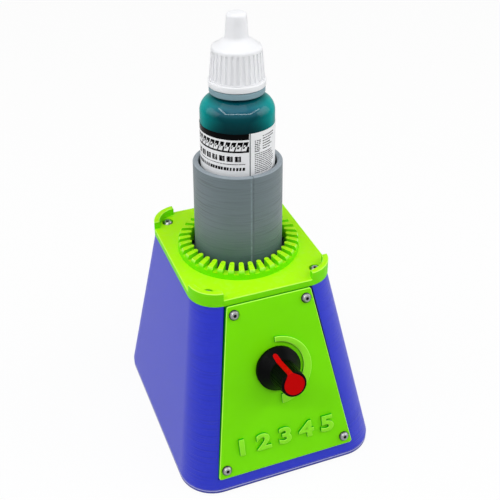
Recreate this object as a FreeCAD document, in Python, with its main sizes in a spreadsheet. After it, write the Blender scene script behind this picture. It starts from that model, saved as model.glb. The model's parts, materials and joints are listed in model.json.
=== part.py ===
"""Desktop paint shaker: a tapered housing, a toothed lid, and a cup that nutates in a fixed crown of teeth.

Millimetres, +Z up.  Heights are measured from the surface that the four feet stand on.
Every sub-part is placed from one of four frames: the housing, the sloping front, the rear wall or the cup.
"""
import FreeCAD, Part
import math
import os
import re
import Sketcher

V = FreeCAD.Vector
doc = FreeCAD.newDocument("PaintShaker")

DIMENSIONS = [
    # whole object
    ("axis_shift", 6.83, "distance of the cup axis behind the middle of the whole object"),
    # housing
    ("foot_height", 3.0, "height of the lower edge of the housing"),
    ("foot_half", 35.3, "half width of the housing at its lower edge"),
    ("foot_front", 47.5, "cup axis to the front of the lower edge"),
    ("foot_back", 37.0, "cup axis to the back of the lower edge"),
    ("foot_corner", 12.0, "corner radius at the lower edge"),
    ("rim_height", 65.4, "height of the upper edge of the housing"),
    ("top_half", 24.3, "half width at the upper edge"),
    ("top_depth", 27.8, "half depth at the upper edge"),
    ("top_corner", 9.3, "corner radius at the upper edge"),
    ("wall", 2.4, "wall thickness of the housing"),
    ("foot_post_x", 27.75, "screw posts at the foot, from the middle plane"),
    ("foot_post_front", 38.8, "front screw posts, from the cup axis"),
    ("foot_post_back", 28.9, "back screw posts, from the cup axis"),
    ("foot_post_radius", 3.6, "radius of the screw posts at the foot"),
    ("foot_post_length", 7.5, "length of the screw posts at the foot"),
    ("lid_screw_x", 19.0, "lid screws, from the middle plane"),
    ("lid_screw_y", 22.4, "lid screws, from the cup axis"),
    ("top_post_radius", 3.0, "radius of the screw posts under the lid"),
    ("top_post_length", 8.0, "length of the screw posts under the lid"),
    ("panel_boss_radius", 2.6, "radius of the screw bosses behind the panel"),
    ("foot_pilot_radius", 1.15, "pilot holes for the screws of the cover"),
    ("foot_pilot_end", 1.0, "solid end of those holes"),
    ("window_corner", 3.0, "corner radius of the window behind the panel"),
    ("overrun", 1.0, "reach of a cut past the face that it opens"),
    ("hole_fit", 0.1, "clearance of a part in its hole"),
    # base cover and feet
    ("foot_gap", 1.0, "height of the cover above the surface"),
    ("cover_thick", 2.0, "thickness of the cover"),
    ("skirting", 2.2, "height of the locating rim inside the housing"),
    ("skirting_gap", 0.9, "gap between that rim and the wall of the housing"),
    ("skirting_thick", 1.6, "thickness of that rim"),
    ("skirting_end", 5.0, "ends of that rim, from the screw posts"),
    ("cover_hole", 1.5, "radius of the screw holes in the cover"),
    ("cover_sink", 2.6, "radius of the recesses for the heads of its screws"),
    ("cover_head", 2.3, "radius of the heads of its screws"),
    ("cover_head_height", 1.1, "height of the heads of its screws"),
    ("cover_screw_length", 6.5, "length of its screws"),
    ("pad_radius", 5.0, "radius of the rubber feet"),
    ("pad_thick", 1.6, "thickness of the rubber feet"),
    ("pad_edge", 0.4, "rounding of the rubber feet"),
    ("pad_x", 24.5, "rubber feet, from the middle plane"),
    ("pad_front", 30.0, "front rubber feet, from the cup axis"),
    ("pad_back", 19.5, "back rubber feet, from the cup axis"),
    # lid and crown ring
    ("lid_half", 24.7, "half width of the lid"),
    ("lid_depth", 28.1, "half depth of the lid"),
    ("lid_corner", 9.8, "corner radius of the lid"),
    ("lid_thick", 2.4, "thickness of the lid"),
    ("lip_rise", 2.8, "height of the corner lips"),
    ("lip_thick", 2.0, "thickness of the corner lips"),
    ("lip_span_x", 9.2, "reach of a corner lip along the front and back"),
    ("lip_span_y", 8.6, "reach of a corner lip along the sides"),
    ("print_edge", 0.4, "rounding of the upper edges of the lid and the panel"),
    ("lid_sink", 0.9, "depth of the recesses for the lid screws"),
    ("lid_sink_radius", 2.05, "radius of the recesses for the lid screws"),
    ("key_gap", 0.3, "gap between the keys under the lid and the housing"),
    ("key_thick", 1.0, "thickness of the keys under the lid"),
    ("key_depth", 2.2, "depth of the keys under the lid"),
    ("key_half", 9.0, "half length of the front and back keys"),
    ("key_near", 7.0, "near end of the side keys, from the cup axis"),
    ("key_far", 14.0, "far end of the side keys, from the cup axis"),
    ("ring_foot_radius", 20.95, "outside radius of the crown ring at the lid"),
    ("ring_radius", 20.75, "outside radius of the crown ring at its shoulder"),
    ("ring_shoulder", 70.55, "height of the shoulder of the crown ring"),
    ("bar_radius", 20.35, "outer end of the bars"),
    ("bar_height", 71.3, "height of the bars at their outer end"),
    ("tip_radius", 17.15, "centre of the round inner ends of the bars"),
    ("tip_height", 71.85, "height of the bars at their inner end"),
    ("teeth", 36, "number of bars, and of ribs on the flange"),
    ("slot_angle", 4.8, "angle that a slot takes"),
    ("slot_phase", 7.5, "angle of the first slot"),
    ("slot_start", 15.55, "radius at which the slots start"),
    ("sill_radius", 18.4, "radius beyond which a slot has a floor"),
    ("sill_height", 69.75, "height of the floor where it starts"),
    ("mesh_height", 66.8, "height of the point about which the cup nutates"),
    ("mesh_gap", 0.2, "crown teeth below the nutation point"),
    ("mesh_depth", 1.8, "depth of the crown grooves above the nutation point"),
    ("crown_radius", 19.7, "outer radius of the crown grooves"),
    ("well_radius", 21.25, "radius of the well under the lid"),
    # front panel, in the sloping frame
    ("panel_low", 3.6, "lower edge of the panel, up the slope"),
    ("panel_high", 65.1, "upper edge of the panel, up the slope"),
    ("panel_low_half", 25.0, "half width of the panel at its lower edge"),
    ("panel_high_half", 14.8, "half width of the panel at its upper edge"),
    ("panel_corner", 0.9, "corner radius of the panel"),
    ("panel_thick", 2.4, "thickness of the panel"),
    ("panel_sunk", 1.6, "depth of the seat of the panel"),
    ("panel_margin", 4.2, "width of the seat round the window"),
    ("panel_fit", 0.15, "gap round the panel in its seat"),
    ("panel_screw_low", 6.9, "lower panel screws, up the slope"),
    ("panel_screw_low_x", 21.9, "lower panel screws, from the middle plane"),
    ("panel_screw_high", 61.9, "upper panel screws, up the slope"),
    ("panel_screw_high_x", 12.7, "upper panel screws, from the middle plane"),
    ("scale_radius", 12.35, "outer radius of the raised crescent beside the knob"),
    ("scale_x", -0.2, "centre of that arc, from the middle of the knob"),
    ("scale_y", -1.15, "centre of that arc, up from the middle of the knob"),
    ("scale_inner_radius", 9.75, "inner radius of the crescent"),
    ("scale_inner_x", -0.4, "centre of the inner arc, from the middle of the knob"),
    ("scale_inner_y", -0.4, "centre of the inner arc, up from the middle of the knob"),
    ("scale_high_end", 0.0, "upper end of the crescent, from the middle plane"),
    ("scale_low_end", 0.4, "lower end of the crescent, from the middle plane"),
    ("scale_rise", 0.9, "height of the crescent above the panel"),
    ("scale_edge", 0.3, "rounding of the crescent"),
    ("button_radius", 1.75, "radius of the button heads"),
    ("button_height", 1.2, "height of the button heads"),
    ("shank_radius", 1.0, "radius of the small screws"),
    ("shank_length", 6.0, "length of the small screws"),
    # speed control
    ("knob_level", 39.95, "centre of the knob, up the slope"),
    ("skirt_radius", 7.8, "radius of the skirt of the knob"),
    ("skirt_low", 1.4, "lower edge of the skirt above the slope"),
    ("skirt_high", 3.1, "upper edge of the skirt"),
    ("crest", 6.5, "height at which the skirt meets the column"),
    ("crest_round", 0.8, "rounding where the skirt meets the column"),
    ("knob_edge", 0.4, "rounding of the edges of the knob"),
    ("column_foot", 4.75, "radius of the column of the knob at its foot"),
    ("column_radius", 4.3, "radius of the column at its top"),
    ("column_top", 15.9, "top of the column above the slope"),
    ("flutes", 24, "number of grooves round the column of the knob"),
    ("flute_depth", 0.25, "depth of those grooves"),
    ("flute_low", 0.6, "lower end of those grooves, above the crest"),
    ("flute_high", 0.9, "upper end of those grooves, below the top"),
    ("disc_radius", 3.5, "radius of the coloured disc"),
    ("stripe_half", 0.85, "half width of the pointer stripe"),
    ("stripe_reach", 6.7, "reach of the pointer on the skirt"),
    ("inlay_start", 2.4, "radius at which the stripe starts"),
    ("inlay_depth", 0.8, "depth of the coloured inlay in the knob"),
    ("inlay_rise", 0.12, "height of the disc above the knob"),
    ("stripe_rise", 0.3, "height of the stripe above the column and the skirt"),
    ("pointer_angle", 14.5, "angle of the pointer to the left of straight up"),
    ("hollow_radius", 5.7, "radius of the hollow under the knob"),
    ("hollow_top", 4.25, "top of the hollow under the knob"),
    ("spindle_radius", 3.0, "radius of the control spindle"),
    ("spindle_gap", 0.05, "running clearance of the spindle"),
    ("spindle_top", 14.2, "top of the spindle"),
    ("bushing_radius", 3.5, "radius of the threaded bushing"),
    ("bushing_top", 3.9, "top of the bushing"),
    ("control_radius", 8.4, "radius of the body of the control"),
    ("control_depth", 8.0, "depth of the body of the control"),
    ("control_edge", 0.6, "rounding of the body of the control"),
    ("control_washer_radius", 5.9, "radius of the washer of the control"),
    ("control_washer_thick", 0.4, "thickness of that washer"),
    ("control_nut_radius", 5.2, "centre to corner of the nut of the control"),
    ("control_nut_thick", 2.0, "thickness of that nut"),
    ("tab_pitch", 5.0, "distance between the tabs of the control"),
    ("tab_half", 0.8, "half width of those tabs"),
    ("tab_reach", 4.0, "reach of those tabs past the body"),
    ("tab_thick", 0.6, "thickness of those tabs"),
    ("wafer_half", 7.0, "half width of the wafer that holds them"),
    ("wafer_reach", 1.5, "reach of the wafer past the body"),
    ("wafer_back", 5.4, "back of the wafer, behind the panel"),
    ("wafer_thick", 1.2, "thickness of the wafer"),
    # cup, measured from the nutation point along its own axis
    ("lean", 4.0, "angle of nutation"),
    ("lean_towards", 70.0, "direction in which the cup leans at rest, from +X"),
    ("cup_rim", 33.6, "rim of the cup"),
    ("cup_rim_radius", 14.85, "outside radius at the rim"),
    ("cup_radius", 15.1, "outside radius at the flange"),
    ("cup_bore", 13.0, "radius of the bore of the cup"),
    ("cup_floor", 2.9, "floor of the cup"),
    ("grip_radius", 12.4, "inner radius of the grip ribs"),
    ("grip_top", 31.0, "top of the grip ribs"),
    ("grips", 6, "number of grip ribs"),
    ("grip_half", 0.8, "half width of the grip ribs"),
    ("grip_root", 0.4, "depth of the grip ribs in the wall"),
    ("cup_corner", 1.4, "rounding of the corner of the bore"),
    ("rim_edge", 0.4, "rounding of the rim"),
    ("flange_radius", 19.7, "radius of the flange"),
    ("flange_top", -1.96, "top of the flange"),
    ("flange_low", -4.3, "underside of the flange"),
    ("cone_radius", 17.0, "radius of the cone under the flange"),
    ("cone_low", -9.8, "foot of the cone"),
    ("boss_radius", 13.2, "radius of the bearing boss"),
    ("boss_low", -16.0, "foot of the bearing boss"),
    ("rib_inner", 16.9, "inner radius of the flange ribs"),
    ("rib_outer", 19.2, "outer radius of the flange ribs"),
    ("rib_top", 0.08, "top of the flange ribs"),
    ("rib_angle", 2.9, "angle that a rib takes"),
    ("rib_root", 0.4, "depth of the ribs in the flange"),
    # bearing, on the axis of the cup
    ("race_outer", 11.0, "outside radius of the bearing"),
    ("race_inner", 4.0, "bore radius of the bearing"),
    ("race_top", -8.8, "upper face of the bearing"),
    ("race_width", 7.0, "width of the bearing"),
    ("race_inner_land", 6.2, "outside radius of the inner race"),
    ("race_outer_land", 9.1, "inside radius of the outer race"),
    ("ball_circle", 7.65, "radius of the circle of balls"),
    ("ball_radius", 1.9, "radius of a ball"),
    ("ball_gap", 0.1, "clearance of a ball in its grooves"),
    ("balls", 7, "number of balls"),
    ("cage_half", 0.7, "half width of the cage"),
    ("cage_low", 0.2, "foot of the cage, above the balls' middle"),
    ("cage_high", 2.7, "top of the cage, above the balls' middle"),
    ("relief_radius", 9.5, "radius of the relief above the bearing"),
    ("relief_top", -5.2, "top of the relief"),
    ("relief_round", 1.5, "rounding at the top of the relief"),
    # crank
    ("hub_radius", 8.0, "radius of the crank hub"),
    ("hub_low", 41.4, "underside of the crank hub"),
    ("hub_high", 48.8, "top of the crank hub"),
    ("hub_edge", 0.5, "rounding of the hub"),
    ("weight_radius", 14.0, "radius of the counterweight"),
    ("weight_low", 41.7, "underside of the counterweight"),
    ("weight_high", 47.0, "top of the counterweight"),
    ("weight_angle", 125.0, "angle that the counterweight takes"),
    ("shoulder_radius", 5.5, "radius of the shoulder under the bearing"),
    ("shoulder_low", -19.6, "foot of the shoulder, from the nutation point"),
    ("washer_radius", 5.2, "radius of the washer on the journal"),
    ("washer_thick", 0.6, "thickness of the washer"),
    ("head_radius", 2.75, "radius of the head of the journal screw"),
    ("head_height", 1.8, "height of the head of the journal screw"),
    ("journal_screw_radius", 1.25, "radius of the journal screw"),
    ("journal_screw_length", 7.0, "length of the journal screw below the washer"),
    ("grub_level", 44.6, "height of the grub screw"),
    ("grub_radius", 1.5, "radius of the grub screw"),
    ("grub_short", 1.6, "grub screw below the face of the hub"),
    ("grub_key", 0.85, "centre to corner of the hexagon in the grub screw"),
    ("grub_key_depth", 1.6, "depth of that hexagon"),
    # motor and bracket
    ("motor_low", 6.6, "lower end of the motor can"),
    ("motor_high", 37.4, "front face of the motor"),
    ("motor_radius", 12.2, "radius of the motor can"),
    ("can_wall", 1.4, "wall thickness of the motor can"),
    ("motor_shaft_radius", 1.0, "radius of the motor shaft"),
    ("motor_shaft_top", 46.9, "top of the motor shaft"),
    ("motor_nose_radius", 3.0, "radius of the nose of the motor"),
    ("motor_nose", 1.4, "height of the nose of the motor"),
    ("motor_round", 1.2, "rounding of the front of the motor can"),
    ("motor_bush", 2.0, "depth of the bush in the nose"),
    ("end_cap_thick", 1.6, "thickness of the end cap of the motor"),
    ("end_cap_inset", 1.6, "end cap inside the can"),
    ("end_cap_edge", 0.6, "rounding of the end cap"),
    ("motor_tab_x", 7.5, "tabs of the motor, from its axis"),
    ("motor_tab_half", 1.1, "half width of those tabs"),
    ("motor_tab_thick", 0.6, "thickness of those tabs"),
    ("motor_tab_length", 1.4, "length of those tabs"),
    ("bridge_thick", 2.5, "thickness of the motor bracket"),
    ("bridge_half", 19.5, "half width of the bracket"),
    ("bridge_depth", 13.0, "half depth of the bracket"),
    ("bridge_foot", 27.5, "reach of the feet of the bracket"),
    ("bridge_step", 5.0, "height of the feet of the bracket"),
    ("bridge_step_round", 1.0, "rounding of those feet"),
    ("bridge_inner_round", 1.5, "rounding between feet and legs"),
    ("bridge_round", 3.0, "rounding of the shoulders of the bracket"),
    ("bridge_fillet", 0.8, "rounding under the shoulders"),
    ("bridge_window_half", 7.0, "half width of the windows in the legs"),
    ("bridge_window_low", 13.0, "foot of those windows"),
    ("bridge_window_high", 7.0, "top of those windows, below the face of the motor"),
    ("motor_screw_hole", 1.4, "radius of the holes for the motor screws"),
    ("bridge_pilot", 1.15, "radius of the pilot holes in the feet"),
    ("motor_screw_pitch", 8.5, "motor screws, from the axis"),
    ("motor_screw_head", 2.2, "radius of the heads of the motor screws"),
    ("motor_head_height", 1.1, "height of those heads"),
    ("motor_screw_radius", 1.3, "radius of the motor screws"),
    ("bracket_screw_x", 23.8, "bracket screws, from the middle plane"),
    ("bracket_screw_y", 8.0, "bracket screws, from the cup axis"),
    # control board
    ("board_width", 36.0, "width of the circuit board"),
    ("board_depth", 22.0, "depth of the circuit board"),
    ("board_thick", 1.6, "thickness of the circuit board"),
    ("board_low", 7.0, "underside of the circuit board"),
    ("board_front", 40.0, "front edge of the circuit board, from the cup axis"),
    ("board_inset", 3.0, "screws of the circuit board, from its edges"),
    ("board_stand", 2.4, "radius of the stands under the circuit board"),
    ("board_screw", 0.85, "radius of the screws of the circuit board"),
    ("board_corner", 1.5, "corner radius of the circuit board"),
    ("board_hole", 1.1, "radius of the holes in the circuit board"),
    ("can_radius", 4.0, "radius of the capacitor"),
    ("can_height", 9.6, "height of the capacitor"),
    ("can_edge", 0.4, "rounding of the capacitor"),
    ("can_x", 10.0, "capacitor, left of the middle plane"),
    ("can_back", 12.0, "capacitor, behind the front edge of the board"),
    ("chip_half", 5.0, "half width of the power transistor"),
    ("chip_depth", 4.4, "thickness of the power transistor"),
    ("chip_tall", 8.5, "height of its case"),
    ("chip_tab_top", 14.0, "top of its tab"),
    ("chip_tab_thick", 1.2, "thickness of its tab"),
    ("chip_inset", 5.0, "power transistor, from the back edge of the board"),
    ("sink_half", 7.0, "half width of the heat sink"),
    ("sink_depth", 6.5, "reach of its fins"),
    ("sink_base", 1.6, "thickness of its base"),
    ("fin_thick", 1.2, "thickness of a fin"),
    ("fin_near", 1.8, "inner face of the inner fins, from the middle"),
    ("sink_tall", 15.0, "height of the heat sink"),
    ("block_half", 5.0, "half width of a terminal block"),
    ("block_x", 5.5, "terminal blocks, from the middle plane"),
    ("block_half_depth", 3.5, "half depth of a terminal block"),
    ("block_tall", 8.0, "height of a terminal block"),
    ("block_inset", 4.5, "terminal blocks, from the front edge of the board"),
    ("well_half_pitch", 2.5, "wells of a terminal block, from its middle"),
    ("well_hole", 1.4, "radius of those wells"),
    ("well_low", 5.0, "floor of those wells"),
    ("chip_x", 5.5, "power transistor and its heat sink, from the middle plane"),
    # power inlet, in the frame of the rear wall
    ("jack_level", 12.0, "centre of the power inlet, up the rear wall"),
    ("jack_radius", 4.0, "radius of the barrel of the inlet"),
    ("jack_flange", 5.6, "radius of the flange of the inlet"),
    ("jack_flange_thick", 1.6, "thickness of the flange"),
    ("jack_depth", 11.0, "depth of the inlet behind the flange"),
    ("socket_radius", 2.9, "radius of the socket"),
    ("socket_depth", 9.0, "depth of the socket"),
    ("pin_radius", 1.0, "radius of the centre pin"),
    ("nut_across", 11.0, "width across the flats of the nut of the inlet"),
    ("inlet_nut_thick", 2.5, "thickness of that nut"),
    ("inlet_edge", 0.4, "rounding of the flange of the inlet"),
    ("pin_top", 0.4, "end of the centre pin, behind the flange face"),
    ("pin_edge", 0.3, "rounding of the pin"),
    # bottle, measured like the cup
    ("bottle_low", 3.0, "underside of the bottle"),
    ("bottle_radius", 12.15, "radius of the bottle"),
    ("bottle_wall", 1.0, "wall thickness of the bottle"),
    ("bottle_shoulder", 50.6, "foot of the shoulder of the bottle"),
    ("bottle_heel", 1.4, "rounding at the foot of the bottle"),
    ("neck_foot", 56.6, "top of the shoulder of the bottle"),
    ("neck_ring_low", 57.3, "underside of the neck ring"),
    ("neck_ring_high", 59.3, "top of the neck ring"),
    ("neck_ring_radius", 9.0, "radius of the neck ring"),
    ("neck_radius", 6.3, "radius of the neck"),
    ("neck_wall", 1.0, "wall thickness of the neck"),
    ("shoulder_round", 5.0, "rounding of the shoulder"),
    ("shoulder_rise", 3.0, "height of the corner that is rounded, above the foot of the shoulder"),
    ("shoulder_inner_round", 4.0, "rounding inside the shoulder"),
    ("shoulder_inner_rise", 2.2, "height of the corner that is rounded inside"),
    ("bottle_edge", 0.4, "rounding of the neck ring"),
    ("ring_reach", 1.0, "reach of the neck ring"),
    ("throat_round", 0.8, "rounding inside the neck"),
    ("throat_drop", 0.5, "throat below the top of the shoulder"),
    ("floor_round", 0.6, "rounding at the floor of the bottle"),
    ("neck_top", 69.0, "top of the neck"),
    ("paint_top", 50.0, "surface of the paint"),
    ("tip_depth", 6.0, "depth of the dropper in the neck"),
    ("tip_bore", 1.0, "radius of the bore of the dropper"),
    ("tip_flange", 0.8, "thickness of the flange of the dropper"),
    ("tip_foot", 3.4, "radius of the dropper above its flange"),
    ("tip_step", 4.0, "height of the cone of the dropper"),
    ("tip_middle", 2.0, "radius of the dropper above its cone"),
    ("tip_end", 1.5, "radius of the end of the dropper"),
    ("tip_short", 3.4, "end of the dropper below the top of the cap"),
    ("cap_low", 59.5, "underside of the cap"),
    ("cap_ring_radius", 9.2, "radius of the ring at the foot of the cap"),
    ("cap_ring_top", 61.4, "top of that ring"),
    ("cap_foot_radius", 8.85, "radius of the ribbed skirt at its foot"),
    ("cap_radius", 7.95, "radius of the ribbed skirt at its top"),
    ("cap_shoulder", 71.9, "top of the ribbed skirt"),
    ("nozzle_low", 74.6, "foot of the nozzle"),
    ("nozzle_foot_radius", 3.7, "radius of the nozzle at its foot"),
    ("nozzle_radius", 3.15, "radius of the nozzle at its top"),
    ("cap_top", 82.4, "top of the cap"),
    ("cap_ribs", 30, "number of grooves between the ribs of the cap"),
    ("cap_rib_depth", 0.35, "depth of those grooves"),
    ("cap_rib_low", 0.7, "foot of those grooves, above the ring"),
    ("cap_rib_high", 1.1, "top of those grooves, below the shoulder"),
    ("cap_fit", 0.4, "clearance of the cap on the neck"),
    ("cap_edge", 0.3, "rounding of the ring of the cap"),
    ("cap_round", 1.0, "rounding of the top of the skirt"),
    ("cap_step", 0.2, "height of the step above the ring"),
    ("nozzle_round", 1.6, "rounding at the foot of the nozzle"),
    ("nozzle_top_round", 1.2, "rounding of the top of the nozzle"),
    ("cap_wall", 1.6, "thickness of the top of the nozzle"),
    ("nozzle_bore", 2.1, "radius inside the nozzle at its top"),
    ("nozzle_bore_foot", 2.4, "radius inside the nozzle at its foot"),
    ("cap_roof", 0.6, "roof of the cap, below the foot of the nozzle"),
    ("cap_roof_drop", 0.9, "outer end of the roof, below the shoulder"),
]

sheet = doc.addObject("Spreadsheet::Sheet", "Dims")
for row, (alias, number, note) in enumerate(DIMENSIONS, 1):
    sheet.set("A%d" % row, note)
    sheet.set("B%d" % row, str(number))
    sheet.setAlias("B%d" % row, alias)
doc.recompute()

ALIASES = {alias for alias, number, note in DIMENSIONS}


def full(expression):
    """The expression with the sheet's name before each alias."""
    name = lambda found: "Dims." + found.group() if found.group() in ALIASES else found.group()
    return re.sub(r"[a-z_]+", name, str(expression))


def value(expression):
    """The number that an expression of aliases stands for."""
    found = sheet.evalExpression(full(expression))
    return float(getattr(found, "Value", found))


def bind(thing, **sizes):
    """Bind properties of an object to expressions of aliases."""
    for name, expression in sizes.items():
        thing.setExpression(name, full(expression))
    return thing


# ---------------------------------------------------------------- frames

FACE_TILT = "(atan((foot_front - top_depth) / (rim_height - foot_height)) / 1deg)"
REAR_TILT = "(atan((foot_back - top_depth) / (rim_height - foot_height)) / 1deg)"


def placed(thing, place, turned=None, angle=None):
    """Give an object its Placement: where it is, the axis it is turned about and the angle."""
    axis = V(0, 0, 1) if turned is None else V(*turned)
    degrees = 0 if angle is None else value(angle)
    thing.Placement = FreeCAD.Placement(V(*[value(p) for p in place]), FreeCAD.Rotation(axis, degrees))
    for letter, expression in zip("xyz", place):
        thing.setExpression("Placement.Base." + letter, full(expression))
    if angle is not None:
        thing.setExpression("Placement.Rotation.Angle", full(angle))
    return thing


def in_housing(thing, height=0):
    return placed(thing, (0, "axis_shift", height))


def in_front(thing, up="0"):
    """The sloping front: x to the right, y up the slope, z outwards."""
    run = "(%s)" % up
    place = (0, "axis_shift - foot_front + %s * sin(%s)" % (run, FACE_TILT),
             "foot_height + %s * cos(%s)" % (run, FACE_TILT))
    return placed(thing, place, (1, 0, 0), "90 - %s" % FACE_TILT)


def in_rear(thing):
    """The rear wall at the power inlet: z outwards, y down the wall."""
    place = (0, "axis_shift + foot_back - jack_level * sin(%s)" % REAR_TILT,
             "foot_height + jack_level * cos(%s)" % REAR_TILT)
    return placed(thing, place, (1, 0, 0), "%s - 90" % REAR_TILT)


def in_cup(thing):
    """The leaning axis of the cup, measured from the nutation point."""
    direction = math.radians(value("lean_towards"))
    axis = (-math.sin(direction), math.cos(direction), 0)
    return placed(thing, (0, "axis_shift", "mesh_height"), axis, "lean")


# ---------------------------------------------------------------- sketches and features

def body_named(label):
    body = doc.addObject("PartDesign::Body", "Body_" + label)
    body.Label = label
    return body


def numbered(body, kind):
    return "%s_%s_%d" % (kind, body.Label, len(body.Group))


def sketch(body, outlines, role="XY_Plane", height=None, turned=None, angle=None, place=None):
    """A sketch of closed outlines on one of the body's own origin planes."""
    plan = body.newObject("Sketcher::SketchObject", numbered(body, "Sketch"))
    plane = [feature for feature in body.Origin.OriginFeatures if feature.Role == role][0]
    plan.AttachmentSupport = [(plane, "")]
    plan.MapMode = "FlatFace"
    spots = place or (0, 0, height or 0)
    axis = V(*turned) if turned else V(0, 0, 1)
    degrees = value(angle) if turned else 0
    spot = V(*[value(s) for s in spots])
    plan.AttachmentOffset = FreeCAD.Placement(spot, FreeCAD.Rotation(axis, degrees))
    for letter, expression in zip("xyz", spots):
        plan.setExpression("AttachmentOffset.Base." + letter, full(expression))
    if turned:
        plan.setExpression("AttachmentOffset.Rotation.Angle", full(angle))
    for outline in outlines:
        outline(plan)
    return plan


def constrain(plan, kind, *arguments):
    """Add one constraint; a text as its last argument is an expression that drives it."""
    driver = arguments[-1] if isinstance(arguments[-1], str) else None
    numbers = arguments[:-1] + (value(driver),) if driver else arguments
    index = plan.addConstraint(Sketcher.Constraint(kind, *numbers))
    if driver:
        plan.setExpression("Constraints[%d]" % index, full(driver))


def at(plan, geometry, point, x, y):
    """Tie a point of a sketch to the origin by its two distances."""
    constrain(plan, "DistanceX", -1, 1, geometry, point, str(x))
    constrain(plan, "DistanceY", -1, 1, geometry, point, str(y))


def disc(x, y, radius):
    """A circle."""
    def draw(plan):
        shape = Part.Circle(V(value(x), value(y), 0), V(0, 0, 1), value(radius))
        index = plan.addGeometry(shape, False)
        constrain(plan, "Radius", index, str(radius))
        at(plan, index, 3, x, y)
    return draw


def corners(*points):
    """A closed outline of straight lines; a point's third value, if any, is the radius of its corner."""
    def draw(plan):
        count = len(points)
        spots = [V(value(p[0]), value(p[1]), 0) for p in points]
        rounds = [value(p[2]) if len(p) > 2 else 0 for p in points]
        arcs, starts, ends = {}, [], []
        for n in range(count):
            before = (spots[n - 1] - spots[n]).normalize()
            after = (spots[(n + 1) % count] - spots[n]).normalize()
            half = before.getAngle(after) / 2
            reach = rounds[n] / math.tan(half)
            starts.append(spots[n] + after * reach)
            ends.append(spots[n] + before * reach)
            if rounds[n]:
                middle = (before + after).normalize()
                centre = spots[n] + middle * (rounds[n] / math.sin(half))
                left = after.cross(before).z > 0
                angles = [math.atan2(end.y - centre.y, end.x - centre.x) for end in (ends[n], starts[n])]
                circle = Part.Circle(centre, V(0, 0, 1), rounds[n])
                arcs[n] = (left, Part.ArcOfCircle(circle, *(angles if left else angles[::-1])))
        sides = [Part.LineSegment(starts[n], ends[(n + 1) % count]) for n in range(count)]
        lines = [plan.addGeometry(side, False) for side in sides]
        for n in range(count):
            if n not in arcs:
                constrain(plan, "Coincident", lines[n - 1], 2, lines[n], 1)
                at(plan, lines[n], 1, points[n][0], points[n][1])
                continue
            left, shape = arcs[n]
            arc = plan.addGeometry(shape, False)
            first, last = (1, 2) if left else (2, 1)
            constrain(plan, "Tangent", lines[n - 1], 2, arc, first)
            constrain(plan, "Tangent", arc, last, lines[n], 1)
            constrain(plan, "Radius", arc, str(points[n][2]))
            apex = plan.addGeometry(Part.Point(spots[n]), True)
            constrain(plan, "PointOnObject", apex, 1, lines[n - 1])
            constrain(plan, "PointOnObject", apex, 1, lines[n])
            at(plan, apex, 1, points[n][0], points[n][1])
    return draw


def block(x_low, x_high, y_low, y_high, radius=None):
    """A rectangle, with round corners where a radius is given."""
    spots = [(x_low, y_low), (x_high, y_low), (x_high, y_high), (x_low, y_high)]
    return corners(*[spot + ((radius,) if radius else ()) for spot in spots])


def feature(body, kind, plan, **sizes):
    made = body.newObject("PartDesign::" + kind, numbered(body, kind))
    made.Profile = plan
    return bind(made, **sizes)


def pad(body, plan, length, down=False):
    made = feature(body, "Pad", plan, Length=length)
    made.Reversed = down
    return made


def between_arcs(outer, inner, low, high):
    """A crescent between two arcs (x, y and radius), each cut off at x = low below and x = high above."""
    def draw(plan):
        arcs, ends = [], []
        for x, y, radius in (outer, inner):
            centre, size = V(value(x), value(y), 0), value(radius)
            angles = [side * math.acos((value(end) - centre.x) / size)
                      for side, end in ((-1, low), (1, high))]
            circle = Part.Circle(centre, V(0, 0, 1), size)
            arcs.append(plan.addGeometry(Part.ArcOfCircle(circle, *angles), False))
            ends.append([centre + V(math.cos(angle), math.sin(angle), 0) * size for angle in angles])
            constrain(plan, "Radius", arcs[-1], str(radius))
            at(plan, arcs[-1], 3, x, y)
        for point, end in ((0, low), (1, high)):
            side = plan.addGeometry(Part.LineSegment(ends[0][point], ends[1][point]), False)
            for n in (0, 1):
                constrain(plan, "Coincident", arcs[n], point + 1, side, n + 1)
                constrain(plan, "DistanceX", -1, 1, arcs[n], point + 1, str(end))
    return draw


def pocket(body, plan, depth=None, up=False):
    """A cut against the sketch's normal, or along it when up; right through where no depth is given."""
    made = feature(body, "Pocket", plan, **({"Length": depth} if depth else {}))
    made.Reversed = up
    if depth is None:
        made.Type = "ThroughAll"
        made.SideType = "Symmetric"
    return made


def spun(body, plan, angle=360, cut=False):
    """A turn of a profile about the vertical axis of its sketch."""
    made = feature(body, "Groove" if cut else "Revolution", plan)
    made.ReferenceAxis = (plan, ["V_Axis"])
    bind(made, Angle=angle)
    made.Midplane = True
    return made


def rounded(body, radius, chosen):
    """Round those edges of the body so far that a test chooses."""
    doc.recompute()
    base = body.Tip
    names = ["Edge%d" % n for n, edge in enumerate(base.Shape.Edges, 1) if chosen(edge)]
    if not names:
        raise RuntimeError("no edge to round on " + body.Label)
    made = body.newObject("PartDesign::Fillet", numbered(body, "Fillet"))
    made.Base = (base, names)
    return bind(made, Radius=radius)


def level(height):
    """A test for the edges that lie at one height of a body."""
    z = value(height)
    return lambda edge: max(abs(vertex.Z - z) for vertex in edge.Vertexes) < 0.001


def ring_of(body, original, count):
    """A feature repeated round the body's vertical axis."""
    made = body.newObject("PartDesign::PolarPattern", numbered(body, "Pattern"))
    made.Originals = [original]
    axis = [feature for feature in body.Origin.OriginFeatures if feature.Role == "Z_Axis"][0]
    made.Axis = (axis, [""])
    made.Angle = 360
    bind(made, Occurrences=count)
    body.Tip = made
    return made


def lofted(body, sections, cut=False):
    kind = "SubtractiveLoft" if cut else "AdditiveLoft"
    made = body.newObject("PartDesign::" + kind, numbered(body, "Loft"))
    made.Profile = sections[0]
    made.Sections = [(section, [""]) for section in sections[1:]]
    made.Ruled = True
    return made


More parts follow.
